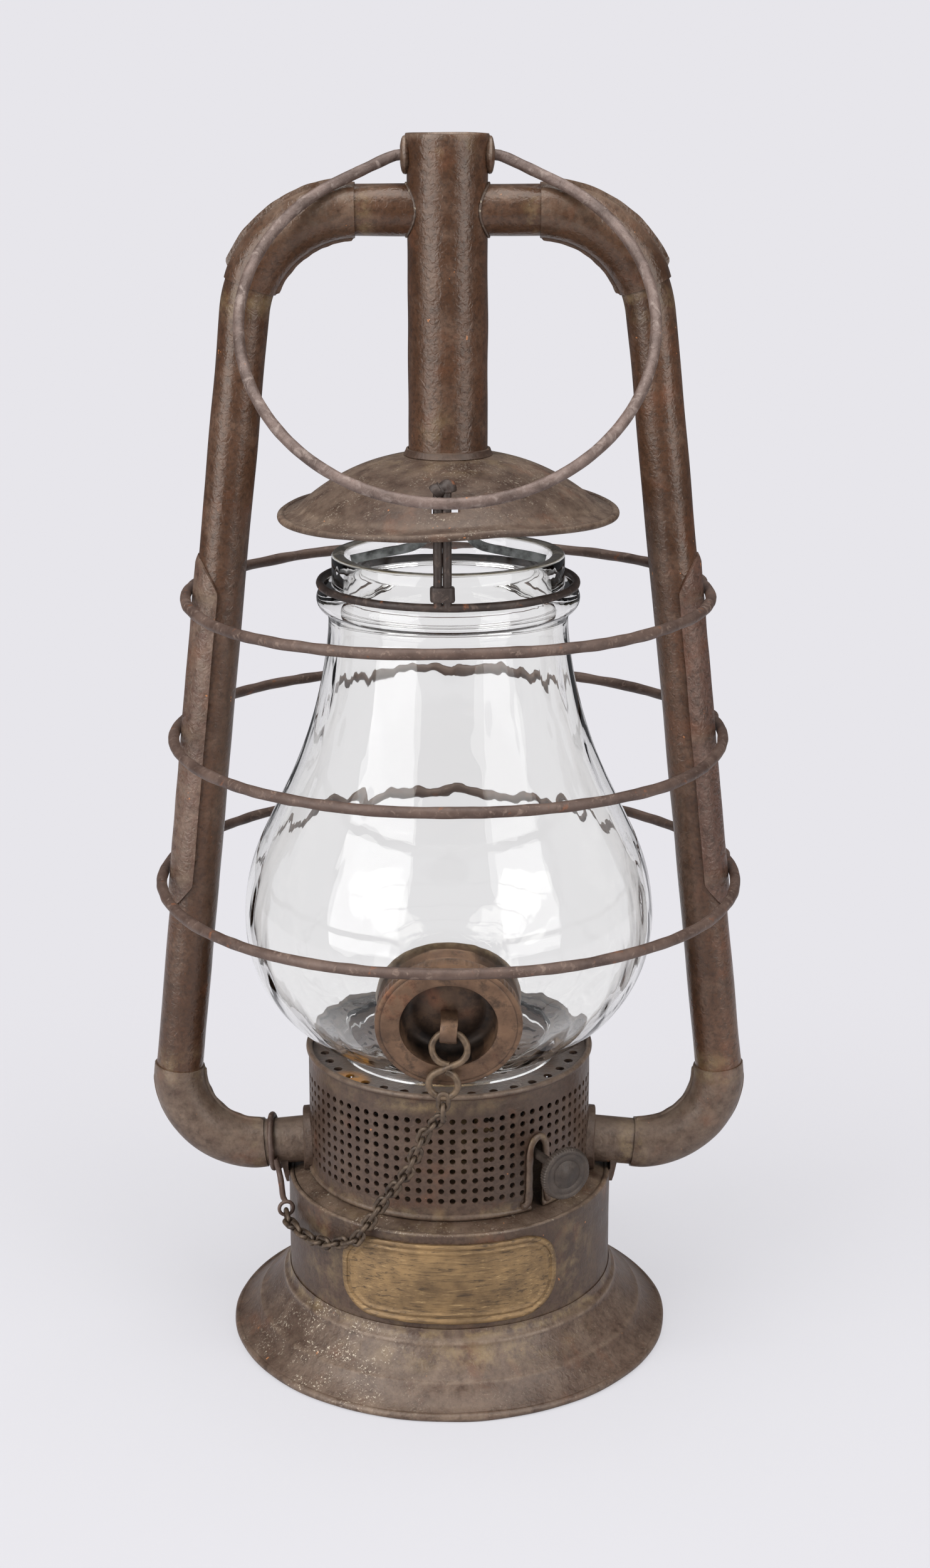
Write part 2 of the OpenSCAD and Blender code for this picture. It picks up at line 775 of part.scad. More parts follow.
// One side of the bail, hanging down in the XY plane from its pivot at the origin
module bail_side() {
    pin_in = chimney_r - 2.2;
    straight = [bail_foot, 0] + bail_tangent * [sin(leg_turn), -cos(leg_turn)];
    run([pin_in, 0, 0], [bail_foot - bail_tangent, 0, 0], bail_wire);
    translate([bail_foot - bail_tangent, -bail_bend])
        bend(bail_bend, bail_wire, leg_turn, 90);
    run([straight.x, straight.y, 0], [bail_end.x, bail_end.y, 0], bail_wire);
    translate(bail_centre)
        bend(bail_curve, bail_wire, -0.4, leg_turn);
}

module bail() {
    color("gray")
    translate([0, 0, pivot_z])
        rotate([-bail_lean, 0, 0])
            upright() {
                bail_side();
                mirror([1, 0, 0]) bail_side();
                translate([0, -bail_deep])
                    bend(bail_half, bail_wire - 2 * swell, -180, 0);
            }
}

module hood() {
    brim_end = hood_r - brim_bead;
    slot_x = holder_x[0] - holder_wire - clear;
    slot_l = holder_x[1] - holder_x[0] + 2 * holder_wire + 2 * clear + 2.2;
    slot_d = 2 * holder_wire + 2 * clear;
    color("saddlebrown")
    difference() {
        union() {
            rotate_extrude()
                polygon(sheet_outline(concat(
                    arc([crown_r - dome_curve * sin(crown_slope), crown_z - dome_curve * cos(crown_slope)],
                        dome_curve, 90 - crown_slope, 90 - dome_slope, 9),
                    [[brim_end, brim_z - (brim_end - dome_r) * tan(brim_slope)]]), sheet));
            rotate_extrude()
                translate([brim_end, brim_z - (brim_end - dome_r) * tan(brim_slope) - sheet / 2])
                    circle(brim_bead);
        }
        translate([slot_x, -holder_r - slot_d / 2, brim_z])
            cube([slot_l, slot_d, crown_z - brim_z]);
    }
}

module hood_collar() {
    color("saddlebrown")
    translate([0, 0, crown_z + fit])
        difference() {
            cylinder(h = 2.2, r = crown_r);
            translate([0, 0, -1]) cylinder(h = 5, r = chimney_r + fit);
        }
}

// One arm of the spring, in the XY plane: down from the chimney and out to the neck
module spring_arm() {
    arm_x = 6.5;
    turn = 4;
    slope = 12;
    knee = rim_z + 2 + turn;
    reach = rim_bore_r - clear - spring_wire - 0.6;
    start = [arm_x + turn - turn * sin(slope), knee - turn * cos(slope)];
    tip = start + (reach - start.x) * [1, -tan(slope)];
    run([arm_x, knee, 0], [arm_x, crown_z, 0], spring_wire);
    translate([arm_x + turn, knee]) bend(turn, spring_wire, 180, 270 - slope);
    run([start.x, start.y, 0], [tip.x, tip.y, 0], spring_wire);
}

module globe_spring() {
    bar_w = 3;
    bar_x = 8;
    bar_y = chimney_r - sheet - 2 * fit - 0.1;
    color("gray")
    union() {
        upright() {
            spring_arm();
            mirror([1, 0, 0]) spring_arm();
        }
        translate([-bar_x, -bar_w / 2, crown_z]) cube([2 * bar_x, bar_w, 1.6]);
        translate([-bar_w / 2, -bar_y + 0.1, crown_z]) cube([bar_w, 2 * bar_y - 0.2, 1.6]);
    }
}

// The outer side of the glass from its foot to the rim
function glass_outside(grow) = concat(
    [[glass_foot_r + grow, plate_z + fit - grow]],
    arc([belly_in, belly_z], belly_curve + grow,
        -acos((glass_foot_r - belly_in) / (belly_curve + grow)), 0, 14),
    arc([shoulder_in, belly_z], shoulder_curve + grow, 4, shoulder_slope, 5),
    arc(hollow_centre, neck_curve - grow, 180 + shoulder_slope, 180 + neck_turn, 8));

glass_neck = concat(
    arc([bead_in, bead_z], bead_r, -acos(0.7 / bead_r), 90 + asin((bead_in - rim_r) / bead_r), 12),
    [[rim_r, rim_z], [rim_bore_r, rim_z], [rim_bore_r, bead_z + 4], [neck_r - glass_t, bead_z - 5]]);

glass_inside = concat(
    arc(hollow_centre, neck_curve + glass_t, 180 + neck_turn, 180 + shoulder_slope, 8),
    arc([shoulder_in, belly_z], shoulder_curve - glass_t, shoulder_slope, 4, 5),
    arc([belly_in, belly_z], belly_curve - glass_t, 0,
        -acos((glass_foot_r - glass_foot_t - belly_in) / (belly_curve - glass_t)), 14),
    [[glass_foot_r - glass_foot_t, plate_z + fit]]);

// Places children on the port: Z runs outward along its axis and Y upward across it
module port_axis() {
    translate([0, port_y, port_z])
        rotate([90 + port_slope, 0, 0]) children();
}

module globe_glass() {
    color("lightcyan", 0.4)
    difference() {
        rotate_extrude()
            polygon(concat(glass_outside(0), glass_neck, glass_inside));
        port_axis()
            translate([0, 0, -20]) cylinder(h = 50, r = port_bore_r + port_wall + 2 * fit);
    }
}

module port_collar() {
    color("peru")
    difference() {
        union() {
            difference() {
                port_axis()
                    translate([0, 0, -4])
                        cylinder(h = collar_front + 4, r1 = port_flange_r, r2 = port_flange_r - 1.6);
                rotate_extrude()
                    polygon(concat([[0, plate_z]], glass_outside(2 * fit), [[0, neck_z]]));
            }
            port_axis()
                translate([0, 0, -8]) cylinder(h = collar_front + 8, r = port_bore_r + port_wall);
        }
        port_axis()
            translate([0, 0, -9]) cylinder(h = 30, r = port_bore_r);
    }
}

module port_cap() {
    floor_z = cup_floor + sheet;
    color("peru")
    port_axis()
        difference() {
            union() {
                translate([0, 0, cap_front - cap_rim])
                    milled_disc(cap_r, 0.5, 72, cap_rim - 0.8);
                translate([0, 0, cap_front - 0.8])
                    cylinder(h = 0.8, r1 = cap_r - 0.6, r2 = cap_r - 1.4);
                translate([0, 0, cup_floor])
                    cylinder(h = cap_front - cap_rim - cup_floor + 1, r = cup_r);
            }
            rotate_extrude()
                polygon(concat([[0, floor_z]], [for (i = [0:15:90])
                    [dish_flat + (dish_r - dish_flat) * sin(i),
                    floor_z + (cap_front - floor_z) * (1 - cos(i))]],
                    [[dish_r, cap_front + 1], [0, cap_front + 1]]));
        }
}

module cap_strap() {
    foot = cup_floor + sheet + fit;
    color("peru")
    port_axis()
        translate([-strap_w / 2, -strap_drop, 0])
            rotate([90, 0, 90])
                linear_extrude(height = strap_w)
                    difference() {
                        union() {
                            translate([0, strap_up]) circle(strap_r + strap_t);
                            translate([-strap_r - strap_t, foot])
                                square([2 * (strap_r + strap_t), strap_up - foot]);
                        }
                        translate([0, strap_up]) circle(strap_r);
                        translate([-strap_r, foot - 1]) square([2 * strap_r, strap_up - foot + 1]);
                    }
}

// The hook hangs in an upright plane from the strap
hook_in = strap_up + 1.6;
hook_y = port_y - hook_in * cos(port_slope) + strap_drop * sin(port_slope);
hook_top = port_z - hook_in * sin(port_slope) - strap_drop * cos(port_slope);
hook_a = [0.3, hook_top - hook_eye];
hook_b = hook_a + [-2, -11.9];
hook_dir = atan2(hook_b.y - hook_a.y, hook_b.x - hook_a.x);
hook_open = hook_dir + acos((hook_eye + hook_low_eye) / norm(hook_b - hook_a));

module cap_hook() {
    start = hook_a + hook_eye * [cos(hook_open), sin(hook_open)];
    end = hook_b - hook_low_eye * [cos(hook_open), sin(hook_open)];
    color("gray")
    translate([0, hook_y, 0])
        upright() {
            translate(hook_a) bend(hook_eye, hook_wire, hook_open, hook_open + 290);
            run([start.x, start.y, 0], [end.x, end.y, 0], hook_wire);
            translate(hook_b) bend(hook_low_eye, hook_wire, hook_open + 180, hook_open + 470);
        }
}

// Half length and half width of a link's wire line, and how far a link hangs from what it holds
link_half = link_pitch / 2 - 0.7;
link_wide = 1.7;
link_reach = link_half + link_wide - link_wire - clear;

// One link along X
module link() {
    for (s = [-1, 1]) {
        translate([s * link_half, 0, 0]) bend(link_wide, link_wire - swell, -90 * s, -90 * s + 180);
        rod([-link_half, s * link_wide, 0], [link_half, s * link_wide, 0], link_wire);
    }
}

// The chain's line, split finely and walked in equal steps from the hook to the eye
chain_start = [hook_b.x, hook_y, hook_b.y - hook_low_eye - link_reach + hook_wire];
chain_end = anchor_eye - [0, 0, eye_r] + (link_reach - eye_wire) * [sin(anchor_turn), -cos(anchor_turn), 0];
chain_line = concat([chain_start, chain_start + [0, 0.6, -5]],
    [for (p = chain_route) route_point(p)], [chain_end]);
chain_fine = concat([for (i = [0:len(chain_line) - 2]) for (t = [0:0.1:0.95])
    chain_line[i] * (1 - t) + chain_line[i + 1] * t], [chain_end]);
function line_length(i) = i == 0 ? 0 : line_length(i - 1) + norm(chain_fine[i] - chain_fine[i - 1]);
chain_gaps = 2 * round(line_length(len(chain_fine) - 1) / link_pitch / 2);
chain_step = line_length(len(chain_fine) - 1) / chain_gaps - 0.0001;
function walk(i, left, out) = i >= len(chain_fine) - 1 ? out
    : let (d = norm(chain_fine[i + 1] - chain_fine[i]))
        left > d ? walk(i + 1, left - d, out)
        : walk(i, left + chain_step,
            concat(out, [[chain_fine[i] + (chain_fine[i + 1] - chain_fine[i]) * left / d, i]]));
chain_places = walk(0, 0, []);

module cap_chain() {
    color("gray")
    for (k = [0:chain_gaps]) {
        i = chain_places[k][1];
        d = chain_fine[i + 1] - chain_fine[i];
        translate(chain_places[k][0])
            rotate([0, -asin(d.z / norm(d)), atan2(d.y, d.x)])
                rotate([90 - 90 * (k % 2), 0, 0]) link();
    }
}

module chain_anchor() {
    loop_r = tube_r + anchor_wire + 3 * fit;
    back = 2.6;
    from = [-stub_end.x + back * cos(stub_slope), -loop_r, stub_end.y + back * sin(stub_slope)];
    color("gray")
    union() {
        mirror([1, 0, 0])
            stub_axis()
                translate([0, 0, -back]) bend(loop_r, anchor_wire, 0, 360);
        rod(from, anchor_eye + [0, 0, eye_r], eye_wire - 0.1);
        translate(anchor_eye)
            rotate([90, 0, anchor_turn]) bend(eye_r, eye_wire - swell, 0, 360);
    }
}

// Turns children to a side tube on the right: Z runs up along it and X points outward
module tube_axis(z) {
    translate([tube_x(z), 0, z])
        rotate([0, -lean, 0]) children();
}

module guard_strip() {
    low = plate_z + guard_up[0] - 13;
    tip = 11;
    outer = tube_r + fit + strip_t;
    color("saddlebrown")
    tube_axis(low)
        intersection() {
            difference() {
                cylinder(h = strip_l, r = outer);
                translate([0, 0, -1]) cylinder(h = strip_l + 2, r = tube_r + fit);
            }
            upright()
                translate([0, 0, -outer - 1])
                    linear_extrude(height = 2 * outer + 2)
                        polygon([[0, tip], [1.5, tip * 0.6], [4, tip * 0.25], [outer + 1, 0],
                            [outer + 1, strip_l], [4, strip_l - tip * 0.25],
                            [1.5, strip_l - tip * 0.6], [0, strip_l - tip]]);
        }
}

function guard_z(i) = plate_z + guard_up[i];
function guard_r(i) = tube_x(guard_z(i)) + (tube_r + strip_t + guard_wire + 3 * fit) / cos(lean);

module guard_ring(i) {
    color("gray")
    translate([0, 0, guard_z(i)])
        rotate_extrude()
            translate([guard_r(i), 0]) circle(guard_wire);
}

module guard_ferrules() {
    color("gray")
    for (i = [0:2])
        translate([0, 0, guard_z(i)])
            rotate([0, 0, 10])
                rotate_extrude(angle = 4.5)
                    translate([guard_r(i), 0])
                        difference() {
                            circle(guard_wire + fit + sheet);
                            circle(guard_wire + fit);
                        }
}

module holder_ring() {
    color("gray")
    union() {
        translate([0, 0, holder_z])
            rotate_extrude()
                translate([holder_r, 0]) circle(holder_wire);
        for (x = holder_x)
            translate([x, -holder_y, holder_z])
                cylinder(h = holder_knob_z - holder_z, r = upright_r);
    }
}

module holder_sleeve() {
    color("gray")
    translate([holder_mid, -holder_y, holder_z + holder_wire + 0.7])
        difference() {
            translate([-3.8, -2.3, 0]) cube([7.6, 4.6, 4.6]);
            for (x = holder_x)
                translate([x - holder_mid, 0, -1]) cylinder(h = 7, r = upright_r + fit);
        }
}

module holder_knob() {
    knob_half = 0.9;
    grip_r = 2.7;
    color("gray")
    translate([holder_mid, -holder_y, holder_knob_z])
        difference() {
            union() {
                rod([-knob_half, 0, 0], [knob_half, 0, 0], grip_r);
                for (x = [-knob_half, knob_half])
                    translate([x, 0, 0]) sphere(grip_r);
            }
            for (x = holder_x)
                translate([x - holder_mid, 0, -10]) cylinder(h = 10 + fit, r = upright_r + fit);
        }
}

foot_ring();
fount_shell();
fount_top_plate();
fount_bottom();
front_plate();
burner_collar();
burner_body();
wick_tube();
wick();
wick_spindle();
wick_wheels();
wick_knob();
burner_cone();
drum();
slot_frame();
globe_plate();
mirror([1, 0, 0]) drum_disc();  // drum_disc_left
drum_disc();  // drum_disc_right
mirror([1, 0, 0]) stub_saddle();  // stub_saddle_left
stub_saddle();  // stub_saddle_right
mirror([1, 0, 0]) lower_stub();  // lower_stub_left
lower_stub();  // lower_stub_right
mirror([1, 0, 0]) lower_elbow_half();  // lower_elbow_left_front
rotate([0, 0, 180]) lower_elbow_half();  // lower_elbow_left_back
lower_elbow_half();  // lower_elbow_right_front
mirror([0, 1, 0]) lower_elbow_half();  // lower_elbow_right_back
mirror([1, 0, 0]) side_tube();  // side_tube_left
side_tube();  // side_tube_right
mirror([1, 0, 0]) upper_elbow_half();  // upper_elbow_left_front
rotate([0, 0, 180]) upper_elbow_half();  // upper_elbow_left_back
upper_elbow_half();  // upper_elbow_right_front
mirror([0, 1, 0]) upper_elbow_half();  // upper_elbow_right_back
mirror([1, 0, 0]) upper_stub();  // upper_stub_left
upper_stub();  // upper_stub_right
chimney_tube();
chimney_lid();
mirror([1, 0, 0]) bail_ear();  // bail_ear_left
bail_ear();  // bail_ear_right
bail();
hood();
hood_collar();
globe_spring();
globe_glass();
port_collar();
port_cap();
cap_strap();
cap_hook();
cap_chain();
chain_anchor();
holder_ring();
holder_sleeve();
holder_knob();
mirror([1, 0, 0]) guard_strip();  // guard_strip_left
guard_strip();  // guard_strip_right
guard_ring(0);  // guard_ring_low
guard_ring(1);  // guard_ring_middle
guard_ring(2);  // guard_ring_top
guard_ferrules();
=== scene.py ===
import json
import math

import bmesh
import bpy
from mathutils import Matrix, Vector, noise

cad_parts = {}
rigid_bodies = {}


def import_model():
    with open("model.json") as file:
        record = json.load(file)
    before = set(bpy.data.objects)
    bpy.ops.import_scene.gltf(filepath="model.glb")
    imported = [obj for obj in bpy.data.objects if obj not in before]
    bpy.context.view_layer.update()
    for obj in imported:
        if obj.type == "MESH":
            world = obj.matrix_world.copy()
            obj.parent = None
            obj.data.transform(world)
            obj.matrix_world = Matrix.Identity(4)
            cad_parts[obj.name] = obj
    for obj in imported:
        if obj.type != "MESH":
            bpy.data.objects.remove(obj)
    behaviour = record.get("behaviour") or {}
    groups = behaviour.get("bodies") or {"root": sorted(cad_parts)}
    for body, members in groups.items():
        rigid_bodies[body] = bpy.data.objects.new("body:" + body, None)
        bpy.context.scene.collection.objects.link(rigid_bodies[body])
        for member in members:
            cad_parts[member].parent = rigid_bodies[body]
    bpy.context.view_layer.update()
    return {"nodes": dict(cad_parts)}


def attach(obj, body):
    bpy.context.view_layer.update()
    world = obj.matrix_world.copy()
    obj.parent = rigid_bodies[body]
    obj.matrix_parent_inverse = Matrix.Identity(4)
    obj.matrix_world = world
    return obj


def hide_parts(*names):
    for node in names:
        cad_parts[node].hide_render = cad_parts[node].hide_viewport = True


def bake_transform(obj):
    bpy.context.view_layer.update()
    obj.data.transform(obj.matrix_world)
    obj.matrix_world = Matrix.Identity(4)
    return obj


for thing in list(bpy.data.objects):
    bpy.data.objects.remove(thing)
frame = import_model()


# Foot: a hollow skirt of pressed sheet steel under the fount, with a shoulder, a low ridge and a
# rolled rim that stands on the table. It is soldered to the fount, and the solder has stained it.
MM = 0.001
SHEET, FOOT_STEPS = 0.8, 240


def placed(name, mesh, sharp):
    mesh.shade_smooth()
    mesh.set_sharp_from_angle(angle=math.radians(sharp))
    piece = bpy.data.objects.new(name, mesh)
    bpy.context.scene.collection.objects.link(piece)
    return piece


def built(name, points, faces, sharp=38):
    mesh = bpy.data.meshes.new(name)
    mesh.from_pydata([Vector(p) * MM for p in points], [], faces)
    weld = bmesh.new()
    weld.from_mesh(mesh)
    bmesh.ops.remove_doubles(weld, verts=weld.verts, dist=2e-6)
    bmesh.ops.recalc_face_normals(weld, faces=weld.faces)
    weld.to_mesh(mesh)
    weld.free()
    return placed(name, mesh, sharp)


def ring_faces(rings, size, closed, hoop=True, first=0):
    faces = []
    for i in range(rings if closed else rings - 1):
        here, there = first + i * size, first + (i + 1) % rings * size
        for k in range(size if hoop else size - 1):
            n = (k + 1) % size
            faces.append((here + k, there + k, there + n, here + n))
    return faces


def lofted(name, rings, closed=False, hoop=True, ends=True, sharp=38):
    size = len(rings[0])
    faces = ring_faces(len(rings), size, closed, hoop)
    if ends and not closed:
        last = (len(rings) - 1) * size
        faces += [tuple(range(size)), tuple(range(last, last + size))]
    return built(name, [p for ring in rings for p in ring], faces, sharp)


def turned(name, section, steps=200):
    turns = [2 * math.pi * i / steps for i in range(steps)]
    return lofted(name, [[(r * math.cos(a), r * math.sin(a), z) for r, z in section] for a in turns], True)


def arc(centre, radius, first, last, steps):
    turns = [math.radians(first + (last - first) * i / steps) for i in range(steps + 1)]
    return [(centre[0] + radius * math.cos(a), centre[1] + radius * math.sin(a)) for a in turns]


def smooth_line(spots, steps):
    line = []
    for i in range(len(spots) - 1):
        a, b, c, d = (Vector(spots[max(0, min(len(spots) - 1, i + k))]) for k in (-1, 0, 1, 2))
        for j in range(steps):
            t = j / steps
            line.append(0.5 * (2 * b + (c - a) * t + (2 * a - 5 * b + 4 * c - d) * t * t
                               + (3 * b - a - 3 * c + d) * t ** 3))
    return line + [Vector(spots[-1])]


def sheet_section(outside):
    inside = []
    for i in range(len(outside)):
        a, b = outside[max(i - 1, 0)], outside[min(i + 1, len(outside) - 1)]
        run = math.hypot(b[0] - a[0], b[1] - a[1])
        inside.append((outside[i][0] + SHEET * (b[1] - a[1]) / run,
                       outside[i][1] - SHEET * (b[0] - a[0]) / run))
    return outside + inside[::-1]


skirt_spots = [(55.35, 23.0), (55.6, 21.5), (56.05, 20.4), (56.7, 19.7), (57.3, 19.2), (57.6, 18.6),
               (57.8, 17.9), (58.3, 17.0), (60.0, 14.8), (61.9, 12.6), (63.6, 10.9), (65.0, 9.8),
               (65.8, 9.3), (66.5, 8.4), (67.6, 6.9), (69.4, 5.1), (71.4, 3.6), (73.4, 2.6)]
foot = turned("foot_skirt", sheet_section(smooth_line(skirt_spots, 4))[:-1], FOOT_STEPS)
foot_rim = turned("foot_rim", arc((73.4, 1.4), 1.4, 0, 345, 23), FOOT_STEPS)


def dented(piece, depth, size, seed):
    mesh = piece.data
    shifts = [v.normal * (depth * MM * noise.noise(v.co * size + Vector((seed, 0, 0))))
              for v in mesh.vertices]
    for v, shift in zip(mesh.vertices, shifts):
        v.co += shift


def held(value):
    return max(0.0, min(1.0, value))


def near(value, target, spread):
    return max(0.0, 1 - abs(value - target) / spread)


def front_angle(x, y):
    return math.degrees(math.atan2(x, -y))


def marked(piece, name, amount):
    layer = piece.data.attributes.new(name, "FLOAT", "POINT")
    layer.data.foreach_set("value", [held(amount(*(v.co / MM))) for v in piece.data.vertices])


for part, seed in ((foot, 1.0), (foot_rim, 2.0)):
    dented(part, 0.25, 55, seed)
    # A paler yellowish band runs across the front of the skirt under the shoulder. The paler lines on the
    # shoulder, the low ridge and the rim bead are painted highlights, and the paler left front is painted
    # light.
    marked(part, "stain", lambda x, y, z: max(
        0.9 * near(z, 21.2, 3.0), 1.1 * near(z, 15.4, 5) * near(front_angle(x, y), 6, 52)))
    marked(part, "dust", lambda x, y, z: 1.1 * near(front_angle(x, y), -42, 36) + 0.1)
    marked(part, "wear_and_painted_light", lambda x, y, z: 0.45 * near(z, 9.4, 0.8) + 0.8 * near(z, 18.9, 0.8)
           + 0.5 * near(z, 1.6, 1.4) + 0.4 * near(front_angle(x, y), -22, 55))

DULL = (0.36, 0.54)
# The finish in hand: the node tree that the helpers add to, and its object coordinates.
work = {}


def set_sockets(node, values):
    for key, value in values.items():
        if isinstance(value, bpy.types.NodeSocket):
            work["tree"].links.new(value, node.inputs[key])
        else:
            node.inputs[key].default_value = value


def add(kind, inputs, **settings):
    made = work["tree"].nodes.new(kind)
    for key, value in settings.items():
        setattr(made, key, value)
    set_sockets(made, inputs)
    return made


def mark_here(name):
    return add("ShaderNodeAttribute", {}, attribute_name=name).outputs["Fac"]


def grain(size, detail, rough=0.55, warp=0.0, place=None):
    return add("ShaderNodeTexNoise", {"Vector": place or work["place"], "Scale": size, "Detail": detail,
               "Roughness": rough, "Distortion": warp}).outputs[0]


def stepped(value, low, high, bottom=0.0, top=1.0):
    return add("ShaderNodeMapRange", {"Value": value, "From Min": low, "From Max": high,
               "To Min": bottom, "To Max": top}).outputs[0]


def times(a, b):
    return add("ShaderNodeMath", {0: a, 1: b}, operation="MULTIPLY").outputs[0]


def over(share, under, upper):
    under, upper = (c + (1,) if isinstance(c, tuple) else c for c in (under, upper))
    return add("ShaderNodeMix", {0: share, 6: under, 7: upper}, data_type="RGBA").outputs[2]


def relief(height, depth, strength):
    return add("ShaderNodeBump", {"Height": height, "Distance": depth * MM, "Strength": strength}).outputs[0]


def new_finish(name):
    finish = bpy.data.materials.new(name)
    finish.use_nodes = True
    work["tree"] = finish.node_tree
    work["place"] = add("ShaderNodeTexCoord", {}).outputs["Object"]
    return finish, finish.node_tree.nodes["Principled BSDF"]


def join_sockets(shader, **values):
    set_sockets(shader, {key.replace("_", " "): value for key, value in values.items()})


def aged_sheet(name, dark, middle, pale, shine=(0.25, 0.41), peel=0.4):
    finish, shader = new_finish(name)
    blotch = grain(110, 6, 0.62)
    wrinkle = grain(620, 1.6, 0.5, 0.8)
    colour = over(stepped(grain(26, 5), 0.36, 0.62), dark, middle)
    colour = over(stepped(blotch, 0.5, 0.78), colour, pale)
    pits = stepped(grain(640, 4, 0.68), 0.36, 0.56, 0.62, 0.0)
    colour = over(pits, colour, (0.022, 0.0115, 0.007))
    rust = times(stepped(grain(62, 7, 0.66), 0.56, 0.72), 0.5)
    colour = over(rust, colour, (0.13, 0.046, 0.02))
    speck = stepped(grain(430, 2, 0.5), 0.75, 0.78)
    colour = over(speck, colour, (0.34, 0.13, 0.045))
    patchy = stepped(grain(130, 6, 0.7), 0.45, 0.62)
    colour = over(times(mark_here("stain"), patchy), colour, (0.185, 0.13, 0.066))
    normal = add("ShaderNodeNewGeometry", {}).outputs["Normal"]
    facing = add("ShaderNodeSeparateXYZ", {0: normal}).outputs["Z"]
    film = times(stepped(facing, 0.3, 0.95, 0.0, 0.45), stepped(blotch, 0.35, 0.7))
    colour = over(film, colour, (0.17, 0.12, 0.088))
    crumbs = stepped(grain(1250, 3, 0.75), 0.59, 0.62)
    clumps = stepped(grain(120, 4, 0.7), 0.45, 0.6)
    dust = times(mark_here("dust"), times(crumbs, clumps))
    colour = over(dust, colour, (0.68, 0.6, 0.47))
    # Paler worn colour in patches where the wear mark is set. On some parts this mark is painted light:
    # highlights, a paler lit side or top, and lifted shade.
    wear_and_light_patches = stepped(grain(210, 5, 0.7), 0.35, 0.65)
    colour = over(times(mark_here("wear_and_painted_light"), wear_and_light_patches), colour, (0.2, 0.145, 0.105))
    join_sockets(shader, Base_Color=colour, Roughness=stepped(blotch, 0.3, 0.72, *shine),
                 Normal=relief(wrinkle, 0.5, peel), Specular_Tint=(1.0, 0.91, 0.84, 1))
    return finish


skirt_brown = aged_sheet("foot_brown_sheet", (0.051, 0.029, 0.02), (0.081, 0.05, 0.0355),
                         (0.108, 0.073, 0.053), DULL, 0.35)


def fitted(piece, finish, body, slot, *nodes):
    piece.data.materials.append(finish)
    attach(piece, body)
    if nodes:
        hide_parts(*nodes)


for part in (foot, foot_rim):
    fitted(part, skirt_brown, "frame", "sheet", "foot_ring")


# Fount: the round oil tank, a sheet wall with a rolled upper rim and a soldered, gently sloping
# top plate that carries the drum. Its flat bottom is hidden in the foot.
def coated(finish, *nodes):
    for node in nodes:
        materials = frame["nodes"][node].data.materials
        materials.clear()
        materials.append(finish)


FOUNT_R = 55.0
fount_brown = aged_sheet("fount_brown_sheet", (0.039, 0.0212, 0.0133), (0.063, 0.0362, 0.0243),
                         (0.087, 0.055, 0.037), DULL, 0.35)
wall_section = [(FOUNT_R - SHEET, 20.0)] + [(FOUNT_R, z) for z in (20.0, 30.0, 40.0, 48.0, 53.0)]
wall_section += arc((54.1, 55.9), 0.9, -10, 200, 16) + [(FOUNT_R - SHEET, z) for z in (48.0, 30.0)]
fount_wall = turned("fount_wall", wall_section, FOOT_STEPS)
fount_top = turned("fount_top", [(14.5, 57.2), (47.9, 57.2), (53.15, 55.5), (53.15, 56.3), (50.5, 57.25),
                                 (48.6, 57.85), (47.4, 58.0), (30.0, 58.0), (14.5, 58.0)])
for part, seed, node in ((fount_wall, 3.0, "fount_shell"), (fount_top, 4.0, "fount_top_plate")):
    dented(part, 0.22, 40, seed)
    marked(part, "stain", lambda x, y, z: max(
        0.8 * near(z, 23, 5), 0.75 * near(abs(x) / 41, 1, 0.22) * near(z, 40, 26) * (y < 0),
        0.55 * near(z, 56.3, 2.6) * (0.5 + 0.5 * math.sin(3 * math.atan2(y, x) + 1))))
    marked(part, "dust", lambda x, y, z: (z > 56) * (0.25 + 0.9 * near(front_angle(x, y), -35, 30)))
    marked(part, "wear_and_painted_light", lambda x, y, z: 0.7 * near(z, 56.6, 0.7))
    fitted(part, fount_brown, "frame", "sheet", node)
coated(fount_brown, "fount_bottom")


# Front plate: a stamped brass plate with a double raised border, bent to the fount's curve and
# soldered on. Its face is rubbed through to the brass and scratched along its length.
PLATE_HALF_W, PLATE_HALF_H, PLATE_CORNER = 35.2, 14.1, 11.0
PLATE_MIDDLE, PLATE_SEAT = 39.3, 55.05


def even(a, b, count):
    return [(a[0] + (b[0] - a[0]) * i / count, a[1] + (b[1] - a[1]) * i / count) for i in range(count)]


def plate_line(margin, rise):
    w, h, c = PLATE_HALF_W - margin, PLATE_HALF_H - margin, max(PLATE_CORNER - margin, 0)
    bends = [arc((right * (w - c), up * (h - c)), c, turn, turn + 90, 12)
             for turn, right, up in ((0, 1, 1), (90, -1, 1), (180, -1, -1), (270, 1, -1))]
    line = []
    for i, bend in enumerate(bends):
        line += bend[:-1] + even(bend[-1], bends[i - 3][0], (30, 6)[i % 2])
    return [(x, -math.sqrt((PLATE_SEAT + rise) ** 2 - x * x), PLATE_MIDDLE + z) for x, z in line]


plate_steps = [(14.1, 0), (11.0, 0), (6.0, 0), (0, 0), (0, 0.9), (0.3, 1.15), (0.9, 1.2), (1.4, 1.1),
               (1.8, 0.7), (2.3, 0.66), (2.7, 0.95), (3.2, 0.98), (3.6, 0.7), (4.6, 0.66), (6.0, 0.7),
               (7.6, 0.68), (9.2, 0.7), (11.0, 0.7), (12.6, 0.7), (14.1, 0.7)]
plate = lofted("front_plate_brass", [plate_line(*step) for step in plate_steps], ends=False, sharp=50)
dented(plate, 0.16, 160, 5.0)

